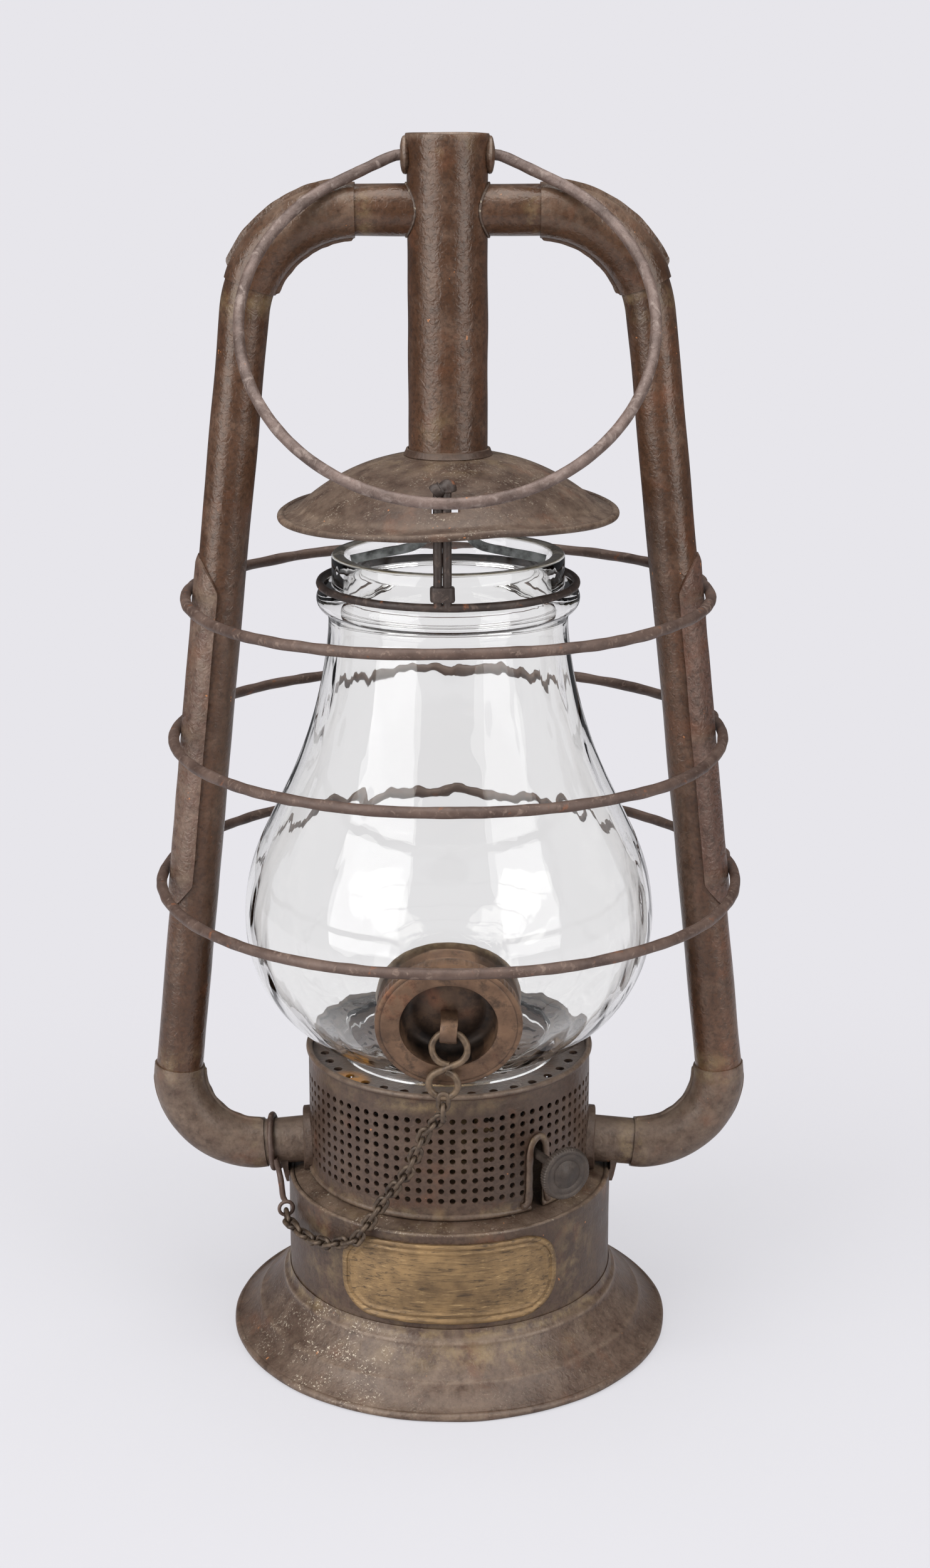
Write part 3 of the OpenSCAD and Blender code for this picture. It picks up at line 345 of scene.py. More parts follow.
plate_finish, shader = new_finish("rubbed_plate_brass")
drawn = add("ShaderNodeMapping", {"Vector": work["place"], "Scale": (0.12, 1, 1.6)}).outputs[0]
scratch = grain(700, 5, 0.7, 0.6, drawn)
tarnish = grain(75, 6, 0.65)
colour = over(stepped(tarnish, 0.35, 0.66), (0.12, 0.074, 0.036), (0.265, 0.167, 0.076))
colour = over(stepped(scratch, 0.53, 0.66), colour, (0.058, 0.037, 0.021))
colour = over(stepped(scratch, 0.42, 0.3), colour, (0.36, 0.243, 0.117))
join_sockets(shader, Base_Color=colour, Roughness=stepped(tarnish, 0.3, 0.7, 0.4, 0.62),
             Normal=relief(scratch, 0.35, 0.55), Metallic=0.45)
fitted(plate, plate_finish, "frame", "plate_brass", "front_plate")


# Burner: brass collar in the fount's top, the burner body with the spindle's two lugs, the flat
# wick tube and the domed cone over it. All of it stands inside the drum and the glass.
def mottled(name, patch, reach, dark, pale, shine, pits, depth, metal):
    finish, shader = new_finish(name)
    cloud = grain(*patch)
    join_sockets(shader, Base_Color=over(stepped(cloud, *reach), dark, pale),
                 Roughness=stepped(cloud, 0.3, 0.7, *shine),
                 Normal=relief(grain(*pits), *depth), Metallic=metal)
    return finish


burner_finish = mottled("sooted_burner_brass", (130, 6, 0.65), (0.38, 0.66), (0.06, 0.042, 0.026),
                        (0.26, 0.165, 0.075), (0.34, 0.6), (900, 3), (0.3, 0.3), 0.7)
coated(burner_finish, "burner_collar", "burner_body", "wick_tube", "burner_cone")


# Wick drive: a steel spindle with two toothed wheels that grip the wick, and a milled iron knob
# outside the drum. The spindle runs 30 degrees to the right of the front, beside the wick.
KNOB_SEAT, KNOB_STEPS, KNOB_TEETH, TOOTH, TOOTH_FROM = 62.4, 220, 55, 0.3, 8.3
SPINDLE_SIDE, SPINDLE_Z = 6.0, 77.5
iron_finish = mottled("grey_knob_iron", (190, 6, 0.66), (0.36, 0.66), (0.031, 0.0225, 0.0175),
                      (0.064, 0.047, 0.037), (0.4, 0.62), (1100, 4, 0.6), (0.3, 0.4), 0.35)
coated(iron_finish, "wick_spindle", "wick_wheels")
knob_section = [(0.0, 0.0), (0.0, 0.3), (6.2, 0.3), (8.1, 0.3), (8.55, 0.55), (8.75, 0.9), (8.8, 1.7),
                (8.75, 2.6), (8.5, 3.1), (8.0, 3.35), (7.3, 3.4), (7.0, 3.1), (6.7, 3.1), (6.3, 3.25),
                (5.2, 3.15), (4.8, 2.95), (4.5, 3.15), (3.2, 3.2), (2.6, 3.45), (1.4, 3.9), (0.0, 4.0)]
turn_in = Matrix.Rotation(math.radians(-60), 4, "Z")
knob_rings = []
for a in (2 * math.pi * i / KNOB_STEPS for i in range(KNOB_STEPS)):
    mill = TOOTH * (0.5 + 0.5 * math.cos(a * KNOB_TEETH))
    line = [(r - mill * held((r - TOOTH_FROM) / 0.3), rise) for r, rise in knob_section]
    knob_rings.append([turn_in @ Vector((KNOB_SEAT + rise, SPINDLE_SIDE + r * math.cos(a),
                                         SPINDLE_Z + r * math.sin(a))) for r, rise in line])
knob = lofted("wick_knob_iron", knob_rings, True, hoop=False, sharp=50)
dented(knob, 0.1, 300, 6.0)
fitted(knob, iron_finish, "wick_drive", "knob_iron", "wick_knob")


# Wick: a flat woven cotton band that the wheels feed up through its tube. Its upper end is cut
# straight, with a charred edge and a few loose ends.
WICK_THICK, WICK_LOW, WICK_HIGH, WICK_ROWS, WICK_HALF = 2.9, 30.0, 114.1, 84, 11
THREAD_WIDE, CHAR_FROM, CHAR_DEEP = 22.0 / 22.2, 108, 5
threads = [(x, -1) for x in range(-WICK_HALF, WICK_HALF + 1)]
threads += [(x, 1) for x in range(WICK_HALF, -WICK_HALF - 1, -1)]
wick_rings = []
for row in range(WICK_ROWS + 1):
    ring = []
    for x, side in threads:
        bulge = 0.14 * math.cos(math.pi * x) * math.cos(math.pi * row) - 0.15
        thick = WICK_THICK / 2 * (0.75 if abs(x) == WICK_HALF else 1.0)
        z = WICK_LOW + (WICK_HIGH - WICK_LOW) * row / WICK_ROWS
        if row == WICK_ROWS:
            z += 0.35 * noise.noise(Vector((x * 1.7, side, 3)))
        ring.append(turn_in @ Vector((x * THREAD_WIDE, side * (thick + bulge), z)))
    wick_rings.append(ring)
wick = lofted("wick_cotton", wick_rings, sharp=60)
marked(wick, "char", lambda x, y, z: (z - CHAR_FROM) / CHAR_DEEP)
wick_finish, shader = new_finish("woven_wick_cotton")
weave = add("ShaderNodeTexWave", {"Vector": work["place"], "Scale": 240.0, "Distortion": 1.5,
            "Detail": 2.0}, bands_direction="Z").outputs[1]
colour = over(weave, (0.42, 0.34, 0.23), (0.62, 0.53, 0.39))
colour = over(mark_here("char"), colour, (0.018, 0.015, 0.013))
join_sockets(shader, Base_Color=colour, Normal=relief(weave, 0.4, 0.7), Roughness=0.92)
fitted(wick, wick_finish, "wick", "wick_cotton", "wick")


# Drum: a band of sheet punched with nine rows of small holes, rolled at both edges and closed
# with a lapped seam in front, where two columns of holes run together. It lets the air in.
DRUM_R, BEAD_AT, BEAD_R = 47.6, 47.3, 1.1
HOLE_R, HOLE_ROWS, HOLE_TOP, HOLE_PITCH, HOLE_EDGE = 1.0, 9, 93.1, 3.5, 16
SEAM_AT, SEAM_CELL, SEAM_SPREAD, PLAIN_COLUMNS = 15.8, 6.5, 0.95, 79
STUB_HOLE_Z, DISC_R, SLOT_HALF, SLOT_TOP = 66.2, 11.2, 2.5, 82.0
PLAIN_CELL, EIGHTH = (360 - SEAM_CELL) / PLAIN_COLUMNS, math.tan(math.pi / 8)
hole_turns = [2 * math.pi * k / HOLE_EDGE for k in range(HOLE_EDGE)]
drum_points, drum_faces, edge_angles = [], [], []


def on_drum(angle, z, r):
    a = math.radians(angle)
    return (r * math.sin(a), -r * math.cos(a), z)


def punched(angle, z):
    x, y, _ = on_drum(angle, z, DRUM_R)
    beside = turn_in.inverted() @ Vector((x, y, 0))
    off_slot = beside.x < 0 or abs(beside.y - SPINDLE_SIDE) > SLOT_HALF + 2.6 or z > SLOT_TOP + 3.2
    return off_slot and math.hypot(y, z - STUB_HOLE_Z) > DISC_R - 0.2


def drum_cell(middle, z, width, spread):
    with_hole, starts = punched(middle, z), []
    for r in (DRUM_R, DRUM_R - SHEET):
        starts.append(len(drum_points))
        for a in hole_turns:
            grow = 1 / max(abs(math.cos(a)), abs(math.sin(a)))
            drum_points.append(on_drum(middle + math.cos(a) * grow * width / 2,
                                       z + math.sin(a) * grow * HOLE_PITCH / 2, r))
        for a in hole_turns if with_hole else []:
            reach = spread * abs(math.cos(a)) + math.sqrt(HOLE_R ** 2 - (spread * math.sin(a)) ** 2)
            drum_points.append(on_drum(middle + math.degrees(reach * math.cos(a) / DRUM_R),
                                       z + reach * math.sin(a), r))
    if not with_hole:
        drum_faces.extend(tuple(range(start, start + HOLE_EDGE)) for start in starts)
        return
    outer, inner = (start + HOLE_EDGE for start in starts)
    for k in range(HOLE_EDGE):
        n = (k + 1) % HOLE_EDGE
        for start in starts:
            drum_faces.append((start + k, start + n, start + HOLE_EDGE + n, start + HOLE_EDGE + k))
        drum_faces.append((outer + k, outer + n, inner + n, inner + k))


for column in range(PLAIN_COLUMNS + 1):
    width = PLAIN_CELL if column else SEAM_CELL
    middle = SEAM_AT + (SEAM_CELL / 2 + (column - 0.5) * PLAIN_CELL if column else 0)
    middle = (middle + 180) % 360 - 180
    for row in range(HOLE_ROWS):
        drum_cell(middle, HOLE_TOP - row * HOLE_PITCH, width, 0 if column else SEAM_SPREAD)
    edge_angles += [middle + width / 2 * step for step in (-1, -EIGHTH, 0, EIGHTH)]
band_top, band_low = HOLE_TOP + HOLE_PITCH / 2, HOLE_TOP - (HOLE_ROWS - 0.5) * HOLE_PITCH
upper_band = [(DRUM_R, band_top), (DRUM_R, 97.5), (DRUM_R, 99.6), (DRUM_R + 0.05, 100.4)]
upper_band += arc((BEAD_AT, 101.5), BEAD_R, -70, 250, 18)
upper_band += [(DRUM_R - SHEET, 99.6), (DRUM_R - SHEET, band_top)]
lower_band = [(DRUM_R - SHEET, band_low), (DRUM_R - SHEET, 60.4)]
lower_band += arc((BEAD_AT, 59.2), BEAD_R, -250, 70, 18) + [(DRUM_R, 61.0), (DRUM_R, band_low)]
for band in (upper_band, lower_band):
    drum_faces += ring_faces(len(edge_angles), len(band), True, False, len(drum_points))
    drum_points += [on_drum(angle, z, r) for angle in edge_angles for r, z in band]
drum = built("drum_wall", drum_points, drum_faces, 32)


def cut_by(piece, cutter):
    cut = piece.modifiers.new("cut", "BOOLEAN")
    cut.operation, cut.solver, cut.object = "DIFFERENCE", "MANIFOLD", cutter
    view = bpy.context.evaluated_depsgraph_get()
    mesh = bpy.data.meshes.new_from_object(piece.evaluated_get(view))
    piece.modifiers.clear()
    mesh.materials.clear()
    mesh.polygons.foreach_set("material_index", [0] * len(mesh.polygons))
    piece.data = mesh
    bpy.data.objects.remove(cutter)


def block(name, low, high, turn=Matrix.Identity(4)):
    corners = [turn @ Vector((x, y, z)) for x in (low[0], high[0]) for y in (low[1], high[1])
               for z in (low[2], high[2])]
    return built(name, corners, [(0, 1, 3, 2), (4, 6, 7, 5), (0, 4, 5, 1), (2, 3, 7, 6), (0, 2, 6, 4),
                                 (1, 5, 7, 3)])


cut_by(drum, block("slot_cutter", (30, SPINDLE_SIDE - SLOT_HALF, 50),
                   (60, SPINDLE_SIDE + SLOT_HALF, SLOT_TOP), turn_in))
marked(drum, "stain", lambda x, y, z: 0.5 * near(z, 60.5, 3)
       + 0.9 * near(z, 98.5, 3) * near(front_angle(x, y), -12, 60))
marked(drum, "wear_and_painted_light", lambda x, y, z: 0.9 * near(z, 102.2, 1.2) + 0.6 * near(z, 59.0, 1.2))
fitted(drum, fount_brown, "frame", "sheet", "drum")


# Slot frame: a bead of folded sheet round the slot that the wick spindle comes through, arched
# over the top, with its feet turned out on the drum's lower edge.
def swept(name, path, ring, up, closed=False, sharp=38):
    path, count, rings = [Vector(p) for p in path], len(path), []
    up = Vector(up).normalized()
    for i, spot in enumerate(path):
        after = path[(i + 1) % count] if closed else path[min(i + 1, count - 1)]
        before = path[i - 1] if closed else path[max(i - 1, 0)]
        along = (after - before).normalized()
        up = (up - along * up.dot(along)).normalized()
        side = along.cross(up)
        rings.append([spot + side * u + up * v for u, v in (ring(i) if callable(ring) else ring)])
    return lofted(name, rings, closed, sharp=sharp)


def circle(radius, corners):
    turns = [2 * math.pi * k / corners for k in range(corners)]
    return [(radius * math.cos(a), radius * math.sin(a)) for a in turns]


SLOT_AT, SLOT_RISE = 37.24, 0.75
slot_line = [on_drum(SLOT_AT + d, z, DRUM_R + SLOT_RISE) for d, z in (
    (-7.6, 60.3), (-6.0, 60.4), (-4.7, 61.6), (-4.3, 65.0), (-4.2, 71.0), (-4.15, 77.0), (-3.6, 81.0),
    (-1.8, 83.2), (0.3, 84.0), (2.2, 83.0), (3.8, 80.5), (4.15, 77.0), (4.2, 71.0), (4.3, 65.0),
    (4.7, 61.6), (5.6, 60.4))]
slot_bead = swept("slot_bead", smooth_line(slot_line, 8), [(u * 1.15, v * 0.85) for u, v in circle(1, 16)],
                  on_drum(SLOT_AT, 0, 1))
dented(slot_bead, 0.25, 260, 7.0)
marked(slot_bead, "stain", lambda x, y, z: near(z, 84, 4))
marked(slot_bead, "wear_and_painted_light", lambda x, y, z: 0.45)
fitted(slot_bead, fount_brown, "frame", "sheet", "slot_frame")


# Globe plate, discs and saddles: the perforated plate under the glass, the round plates where the
# lower stubs enter the drum, and the plates that tie the stubs to the fount. All are sheet.
OIL_SPOT, OIL_REACH = (-0.0335, -0.0305, 0.1012), 0.0085
coated(skirt_brown, "drum_disc_left", "drum_disc_right", "stub_saddle_left", "stub_saddle_right")
plate_sheet = aged_sheet("oiled_plate_sheet", (0.046, 0.028, 0.019), (0.078, 0.05, 0.036),
                         (0.14, 0.105, 0.082))
shader = plate_sheet.node_tree.nodes["Principled BSDF"]
away = add("ShaderNodeVectorMath", {0: work["place"], 1: OIL_SPOT}, operation="DISTANCE").outputs["Value"]
oil = times(stepped(away, OIL_REACH, 0.4 * OIL_REACH), stepped(grain(150, 4), 0.35, 0.5))
under = shader.inputs["Base Color"].links[0].from_socket
join_sockets(shader, Base_Color=over(oil, under, (0.5, 0.21, 0.02)))
coated(plate_sheet, "globe_plate")


# Frame tubes: lower stubs, side tubes and upper stubs are rolled from sheet and joined by elbows,
# which are pressed in a front and a back half and soldered along their seam flanges.
SIDES, BACK = (("left", -1), ("right", 1)), (0, 1, 0)
TUBE_R, ELBOW_R, ELBOW_BORE, ELBOW_STEPS, LIP, LIP_T = 7.85, 8.6, 7.9, 60, 0.08, 0.75
LOW_CENTRE, LOW_BEND, LOW_FROM, LEAN, LAP = (65.44, 90.90), 26.24, -96.0, 6.37, 8.0
TOP_CENTRE, TOP_BEND, TOP_FROM, TOP_STUB_Z = (28.6, 342.0), 35.0, 20.0, 377.0
STUB_INNER, TOP_STUB_INNER = (45.72, 66.58), (9.2, TOP_STUB_Z)
sheet_brown = aged_sheet("aged_brown_sheet", (0.044, 0.0195, 0.0095), (0.08, 0.038, 0.021),
                         (0.115, 0.067, 0.044))


def in_side(side, spots):
    return [(side * x, 0.0, z) for x, z in spots]


def elbow_half(name, side, front, centre, bend, first, last, outer_lip, inner_lip):
    rings = []
    for share in (i / ELBOW_STEPS for i in range(ELBOW_STEPS + 1)):
        a = math.radians(first + (last - first) * share)
        end = min(share, 1 - share)
        body = ELBOW_R - 0.2 * near(end, 0, 0.07) + 0.12 * math.sin(math.pi * share)
        ragged = 0.25 * noise.noise(Vector((share * 9, side, front)))
        outer = body + LIP + (outer_lip + ragged) * held((end - 0.07) / 0.02)
        inner = body + LIP + (inner_lip + ragged) * held((end - 0.012) / 0.02)
        ring = [(outer, 0.0), (outer - 0.06, LIP_T)] + arc((0, 0), body, 7, 173, 28)
        ring += [(0.06 - inner, LIP_T), (-inner, 0.0)] + arc((0, 0), ELBOW_BORE, 180, 0, 18)
        rings.append([(side * (centre[0] + (bend + u) * math.cos(a)), front * v,
                       centre[1] + (bend + u) * math.sin(a)) for u, v in ring])
    return lofted(name, rings, sharp=34)


stub_run = arc(LOW_CENTRE, LOW_BEND, LOW_FROM, LOW_FROM + LAP, 4)
stub_run = even(STUB_INNER, stub_run[0], 10) + stub_run
tube_foot = arc(LOW_CENTRE, LOW_BEND, LEAN - LAP, LEAN, 4)
tube_head = arc(TOP_CENTRE, TOP_BEND, LEAN, TOP_FROM + LAP, 8)
tube_run = tube_foot[:-1] + even(tube_foot[-1], tube_head[0], 90) + tube_head
upper_run = arc(TOP_CENTRE, TOP_BEND, 90 - LAP, 90, 4)[::-1]
upper_run = even(TOP_STUB_INNER, upper_run[0], 12) + upper_run
low_elbow, top_elbow = (LOW_CENTRE, LOW_BEND, LOW_FROM, LEAN), (TOP_CENTRE, TOP_BEND, TOP_FROM, 90)
for word, side in SIDES:
    for kind, run, finish, seed in (("lower_stub", stub_run, skirt_brown, 11),
                                    ("side_tube", tube_run, sheet_brown, 12),
                                    ("upper_stub", upper_run, sheet_brown, 13)):
        pipe = swept(kind + "_pipe_" + word, in_side(side, run), circle(TUBE_R, 44), BACK)
        dented(pipe, 0.3, 38, seed + side)
        marked(pipe, "stain", lambda x, y, z: max(
            near(abs(x), 61, 5) * (z < 80), 0.6 * near(abs(x), 26, 4) * (z > 362) * (y < 3),
            0.5 * near(z, 349, 7) * (abs(x) > 50), 0.6 * near(z, 96, 6)))
        # Paler colour on the lower stubs, below z 80, is painted light that lifts their shade.
        marked(pipe, "wear_and_painted_light", lambda x, y, z: 0.42 * (z < 80))
        fitted(pipe, finish, "frame", "sheet", kind + "_" + word)
    for face, front in (("front", -1), ("back", 1)):
        for kind, shape, lips, finish in (("lower_elbow", low_elbow, (0.25, 0.5), skirt_brown),
                                          ("upper_elbow", top_elbow, (1.25, 0.7), sheet_brown)):
            half = elbow_half(kind + "_press_" + word + "_" + face, side, front, *shape, *lips)
            dented(half, 0.2, 70, 14.0)
            marked(half, "stain", lambda x, y, z: 0.7 * max(
                near(z, 92, 4) * (abs(x) > 75), near(abs(x), 65, 3) * (z < 80)))
            # The paler seam flanges are worn. The paler upper half of the upper elbows and the paler lower
            # elbows are painted light.
            marked(half, "wear_and_painted_light", lambda x, y, z: 0.15 * near(abs(y), 0.2, 0.9)
                   + 0.5 * near(z, 388, 26) + 0.42 * (z < 110))
            fitted(half, finish, "frame", "sheet", kind + "_" + word + "_" + face)


# Solder: an uneven fillet round each upper stub where it enters the chimney. It has aged to the
# brown of the sheet, with a few pale cracks left.
CHIMNEY_R, FILLET_R, FILLET_THICK = 12.5, 8.05, 0.42
solder_finish, shader = new_finish("cracked_solder")
flecks = grain(380, 5, 0.7)
colour = over(stepped(flecks, 0.58, 0.66), (0.06, 0.036, 0.024), (0.32, 0.27, 0.2))
join_sockets(shader, Base_Color=colour, Normal=relief(flecks, 0.4, 0.6), Roughness=0.55)
for word, side in SIDES:
    fillet_line = [(side * math.sqrt((CHIMNEY_R + 0.25) ** 2 - y * y), y, TOP_STUB_Z + rise)
                   for y, rise in circle(FILLET_R, 120)]
    fillet = swept("stub_solder_" + word, fillet_line, lambda i: circle(
        FILLET_THICK + 0.2 * noise.noise(Vector((i * 0.4, side, 1))), 8), (side, 0, 0), True)
    fitted(fillet, solder_finish, "frame", "sheet")


# Chimney: a tube of sheet from the hood up past the upper stubs, closed by a lid let into its top,
# with a domed ear on each side that the bail's ends go through.
CHIMNEY_LOW, CHIMNEY_FLARE, PIVOT_Z = 299.5, 384.0, 393.5
chimney_section = [(0.0, CHIMNEY_LOW)]
chimney_section += even((CHIMNEY_R, CHIMNEY_LOW), (CHIMNEY_R, CHIMNEY_FLARE), 46)
chimney_section += [(CHIMNEY_R, CHIMNEY_FLARE), (12.55, 388.0), (12.7, 392.0), (12.9, 395.5), (13.0, 398.0),
                    (13.0, 399.4), (12.8, 399.9), (12.4, 399.9), (12.15, 399.5), (11.4, 399.2),
                    (8.0, 399.35), (4.0, 399.45), (0.0, 399.5)]
chimney = turned("chimney_pipe", chimney_section, 120)
dented(chimney, 0.28, 60, 21.0)
marked(chimney, "stain", lambda x, y, z: max(0.8 * near(z, 396, 5) * near(x, 2, 9),
                                             0.5 * near(z, 311, 8) * near(x, -3, 9)))
marked(chimney, "wear_and_painted_light", lambda x, y, z: 0.6 * near(z, 399.6, 0.7))
fitted(chimney, sheet_brown, "frame", "sheet", "chimney_tube", "chimney_lid")
ear_section = [(1.95, 11.6), (4.4, 11.4), (5.5, 12.2), (5.8, 12.9), (5.6, 13.6), (4.9, 14.0), (3.6, 14.3),
               (2.6, 14.5), (2.0, 14.4)]
for word, side in SIDES:
    ear = turned("bail_ear_" + word + "_washer", ear_section, 64)
    ear.data.transform(Matrix.Translation((0, 0, PIVOT_Z * MM))
                       @ Matrix.Rotation(side * math.pi / 2, 4, "Y"))
    dented(ear, 0.2, 200, 22.0 + side)
    marked(ear, "wear_and_painted_light", lambda x, y, z: 0.5)
    fitted(ear, sheet_brown, "frame", "sheet", "bail_ear_" + word)


# Hood: a shallow spun dome with a turned-out brim and a rolled edge, on a collar round the chimney.
# The brim is bent out of true, a slot in front lets the globe holder through, and dust lies on top.
HOOD_R, HOOD_STEPS = 54, 260
hood_brown = aged_sheet("dusty_hood_sheet", (0.034, 0.017, 0.0112), (0.052, 0.0285, 0.019),
                        (0.074, 0.046, 0.0315), (0.42, 0.6), 0.3)
hood_line = arc((4.35, 235.36), 66.82, 82, 50, 44)
hood_line += [(47.8, 286.0), (48.6, 285.55), (50.0, 285.1), (51.5, 284.65), (52.4, 284.3)]
hood = turned("hood_dome", sheet_section(hood_line), HOOD_STEPS)
brim = turned("hood_brim_roll", arc((53.3, 283.7), 1.2, 0, 345, 23), HOOD_STEPS)
cut_by(hood, block("holder_slot_cutter", (-4.9, -43.0, 280), (3.1, -39.2, 300)))
for part in (hood, brim):
    for v in part.data.vertices:
        reach = math.hypot(v.co.x, v.co.y) / MM / HOOD_R
        turn = math.atan2(v.co.x, -v.co.y)
        bent = 0.8 * math.cos(2 * turn) + 0.4 * math.cos(3 * turn - 0.9) + 0.7 * math.sin(turn)
        bent += 0.6 * near(turn, 0.3, 0.28) - 0.3 * near(turn, -0.25, 0.3)
        v.co.z += MM * reach ** 3 * bent
    dented(part, 0.35, 45, 23.0)
    marked(part, "stain", lambda x, y, z: 0.45 * near(math.hypot(x, y), 19, 9))
    marked(part, "dust", lambda x, y, z: 0.3)
    # Both sides of the hood are painted paler: this is painted light, with some dust. The paler rings at the
    # shoulder and the rim are worn edges.
    marked(part, "wear_and_painted_light", lambda x, y, z: 0.6 * near(abs(front_angle(x, y)), 80, 45)
           + 0.35 * near(math.hypot(x, y), 47.5, 1.5) + 0.3 * near(math.hypot(x, y), HOOD_R, 1.2))
    fitted(part, hood_brown, "frame", "sheet", "hood")
collar = turned("hood_collar_band", [(12.55, 301.4), (13.9, 301.3), (14.2, 301.7), (13.7, 302.6),
                                     (13.4, 303.5), (12.6, 303.8)], 120)
dented(collar, 0.3, 120, 24.0)
fitted(collar, hood_brown, "frame", "sheet", "hood_collar")


# Globe spring: two arms of flat steel that come down out of the chimney and press outward into
# the neck of the glass, on a cross bar soldered in the chimney's foot.
def joined(name, parts):
    whole = bpy.data.meshes.new(name)
    merge = bmesh.new()
    for part in parts:
        merge.from_mesh(part.data)
    merge.to_mesh(whole)
    merge.free()
    for part in parts:
        bpy.data.objects.remove(part)
    return placed(name, whole, 38)


ARM_X, CROWN_Z, BAR_HALF, BAR_T = 6.5, 301.5, 1.5, 1.6
arm_line = [(ARM_X, CROWN_Z), (ARM_X, 294.0), (ARM_X, 284.0), (ARM_X + 0.1, 278.0), (7.6, 274.2),
            (10.6, 272.2), (15.0, 271.0), (22.0, 269.6), (28.0, 268.4), (31.2, 267.7)]
arm_ring = [(-1, -0.4), (0, -0.5), (1, -0.4), (1, 0.4), (0, 0.5), (-1, 0.4)]
arms = [swept("spring_arm", smooth_line(in_side(side, arm_line), 8),
              lambda i: [(u * (0.8 + 0.6 * min(1, i / 30)), v) for u, v in arm_ring], BACK)
        for side in (-1, 1)]
bars = [block("spring_bar", (-x, -y, CROWN_Z), (x, y, CROWN_Z + BAR_T))
        for x, y in ((8.2, BAR_HALF), (BAR_HALF, 11.4))]
spring = joined("globe_spring_arms", arms + bars)
dented(spring, 0.2, 150, 25.0)
spring_finish = mottled("grey_spring_steel", (160, 5, 0.6), (0.4, 0.6), (0.06, 0.062, 0.06),
                        (0.27, 0.285, 0.28), (0.55, 0.4), (700, 4), (0.3, 0.4), 0.5)
fitted(spring, spring_finish, "frame", "wire", "globe_spring")


# Globe: mould-blown clear glass with a faint green tint, ripples and uneven walls, a rolled bead
# under its ground rim, and a round hole in front for the lighting port.
BELLY, SHOULDER, HOLLOW = (21.3, 148.0), (1.8, 148.0), (188.13, 258.70)
PORT_HOLE_R, RIM_FROM, BEAD_FOOT = 19.5, 269.5, 251.5
PORT = Matrix.Translation((0, -61.7, 138.2)) @ Matrix.Rotation(math.radians(104), 4, "X")
glass_section = [(33.6, 100.65), (36.4, 100.65), (36.5, 101.5)] + arc(BELLY, 46.5, -70.92, 0, 44)
glass_section += arc(SHOULDER, 66, 1, 26, 20) + arc(HOLLOW, 150, 205.5, 185, 30)
glass_section += [(38.65, 247.5), (38.6, 249.3)] + arc((38.0, 255.83), 4.4, -74, 96, 24)
glass_section += [(37.4, 262.0), (37.4, 266.0), (37.4, 269.4), (36.9, 270.0), (34.4, 270.03), (33.4, 269.8),
                  (33.2, 269.0), (33.2, 264.0), (33.3, 259.5), (34.4, 254.0), (35.4, 250.5), (35.65, 248.0)]
glass_section += arc(HOLLOW, 153, 185, 205.5, 30) + arc(SHOULDER, 63, 26, 1, 20)
glass_section += arc(BELLY, 43.5, 0, -73.7, 44)
globe = turned("globe_blown", glass_section, 256)
outward = [v.normal.copy() for v in globe.data.vertices]
for v, out in zip(globe.data.vertices, outward):
    turn, z = math.atan2(v.co.y, v.co.x), v.co.z / MM
    inner = out.x * v.co.x + out.y * v.co.y < 0
    flow = Vector((math.cos(turn) * 5.5, math.sin(turn) * 5.5, z * 0.036))
    body = held((z - 104) / 8) * held((249 - z) / 6)
    wave = (0.3 if inner else 0.08) * noise.noise(flow + Vector((9.0 if inner else 2.0, 0, 0)))
    wave += (0.1 if inner else 0.03) * noise.noise(flow * 2.7)
    v.co += out * (wave * MM * (0.25 + 0.75 * body))
# This mark covers the frosted top rim and a band on the outer wall under the bead. That band is a painted
# dark reflection.
marked(globe, "ground", lambda x, y, z: (z - RIM_FROM) / 0.3
       + 0.4 * near(z, BEAD_FOOT, 1.2) * (math.hypot(x, y) > 38))


def on_port(name, section, steps):
    piece = turned(name, section, steps)
    seat = PORT.copy()
    seat.translation *= MM
    piece.data.transform(seat)
    return piece


cut_by(globe, on_port("port_cutter", [(0, -20), (PORT_HOLE_R, -20), (PORT_HOLE_R, 20), (0, 20)], 96))
globe.data.set_sharp_from_angle(angle=math.radians(40))
glass_finish, shader = new_finish("blown_clear_glass")
upright = add("ShaderNodeMapping", {"Vector": work["place"], "Scale": (1, 1, 0.4)}).outputs[0]
ripple = grain(95, 2, 0.5, 0.3, upright)
smear = grain(40, 5, 0.6)
# The marked rim and the painted reflection band turn an opaque brown.
ground_and_reflection_mask = times(mark_here("ground"), stepped(grain(140, 5, 0.65), 0.3, 0.6, 0.75, 1.0))
colour = over(ground_and_reflection_mask, (0.985, 0.987, 0.968), (0.2, 0.16, 0.08))
join_sockets(shader, Normal=relief(ripple, 0.6, 0.2), Base_Color=colour,
             Roughness=stepped(smear, 0.5, 0.75, 0.0, 0.05),
             Transmission_Weight=stepped(ground_and_reflection_mask, 0.0, 1.0, 1.0, 0.1), IOR=1.48,
             Specular_IOR_Level=0.2, Specular_Tint=(0.5, 0.5, 0.5, 1))
fitted(globe, glass_finish, "frame", "glass", "globe_glass")


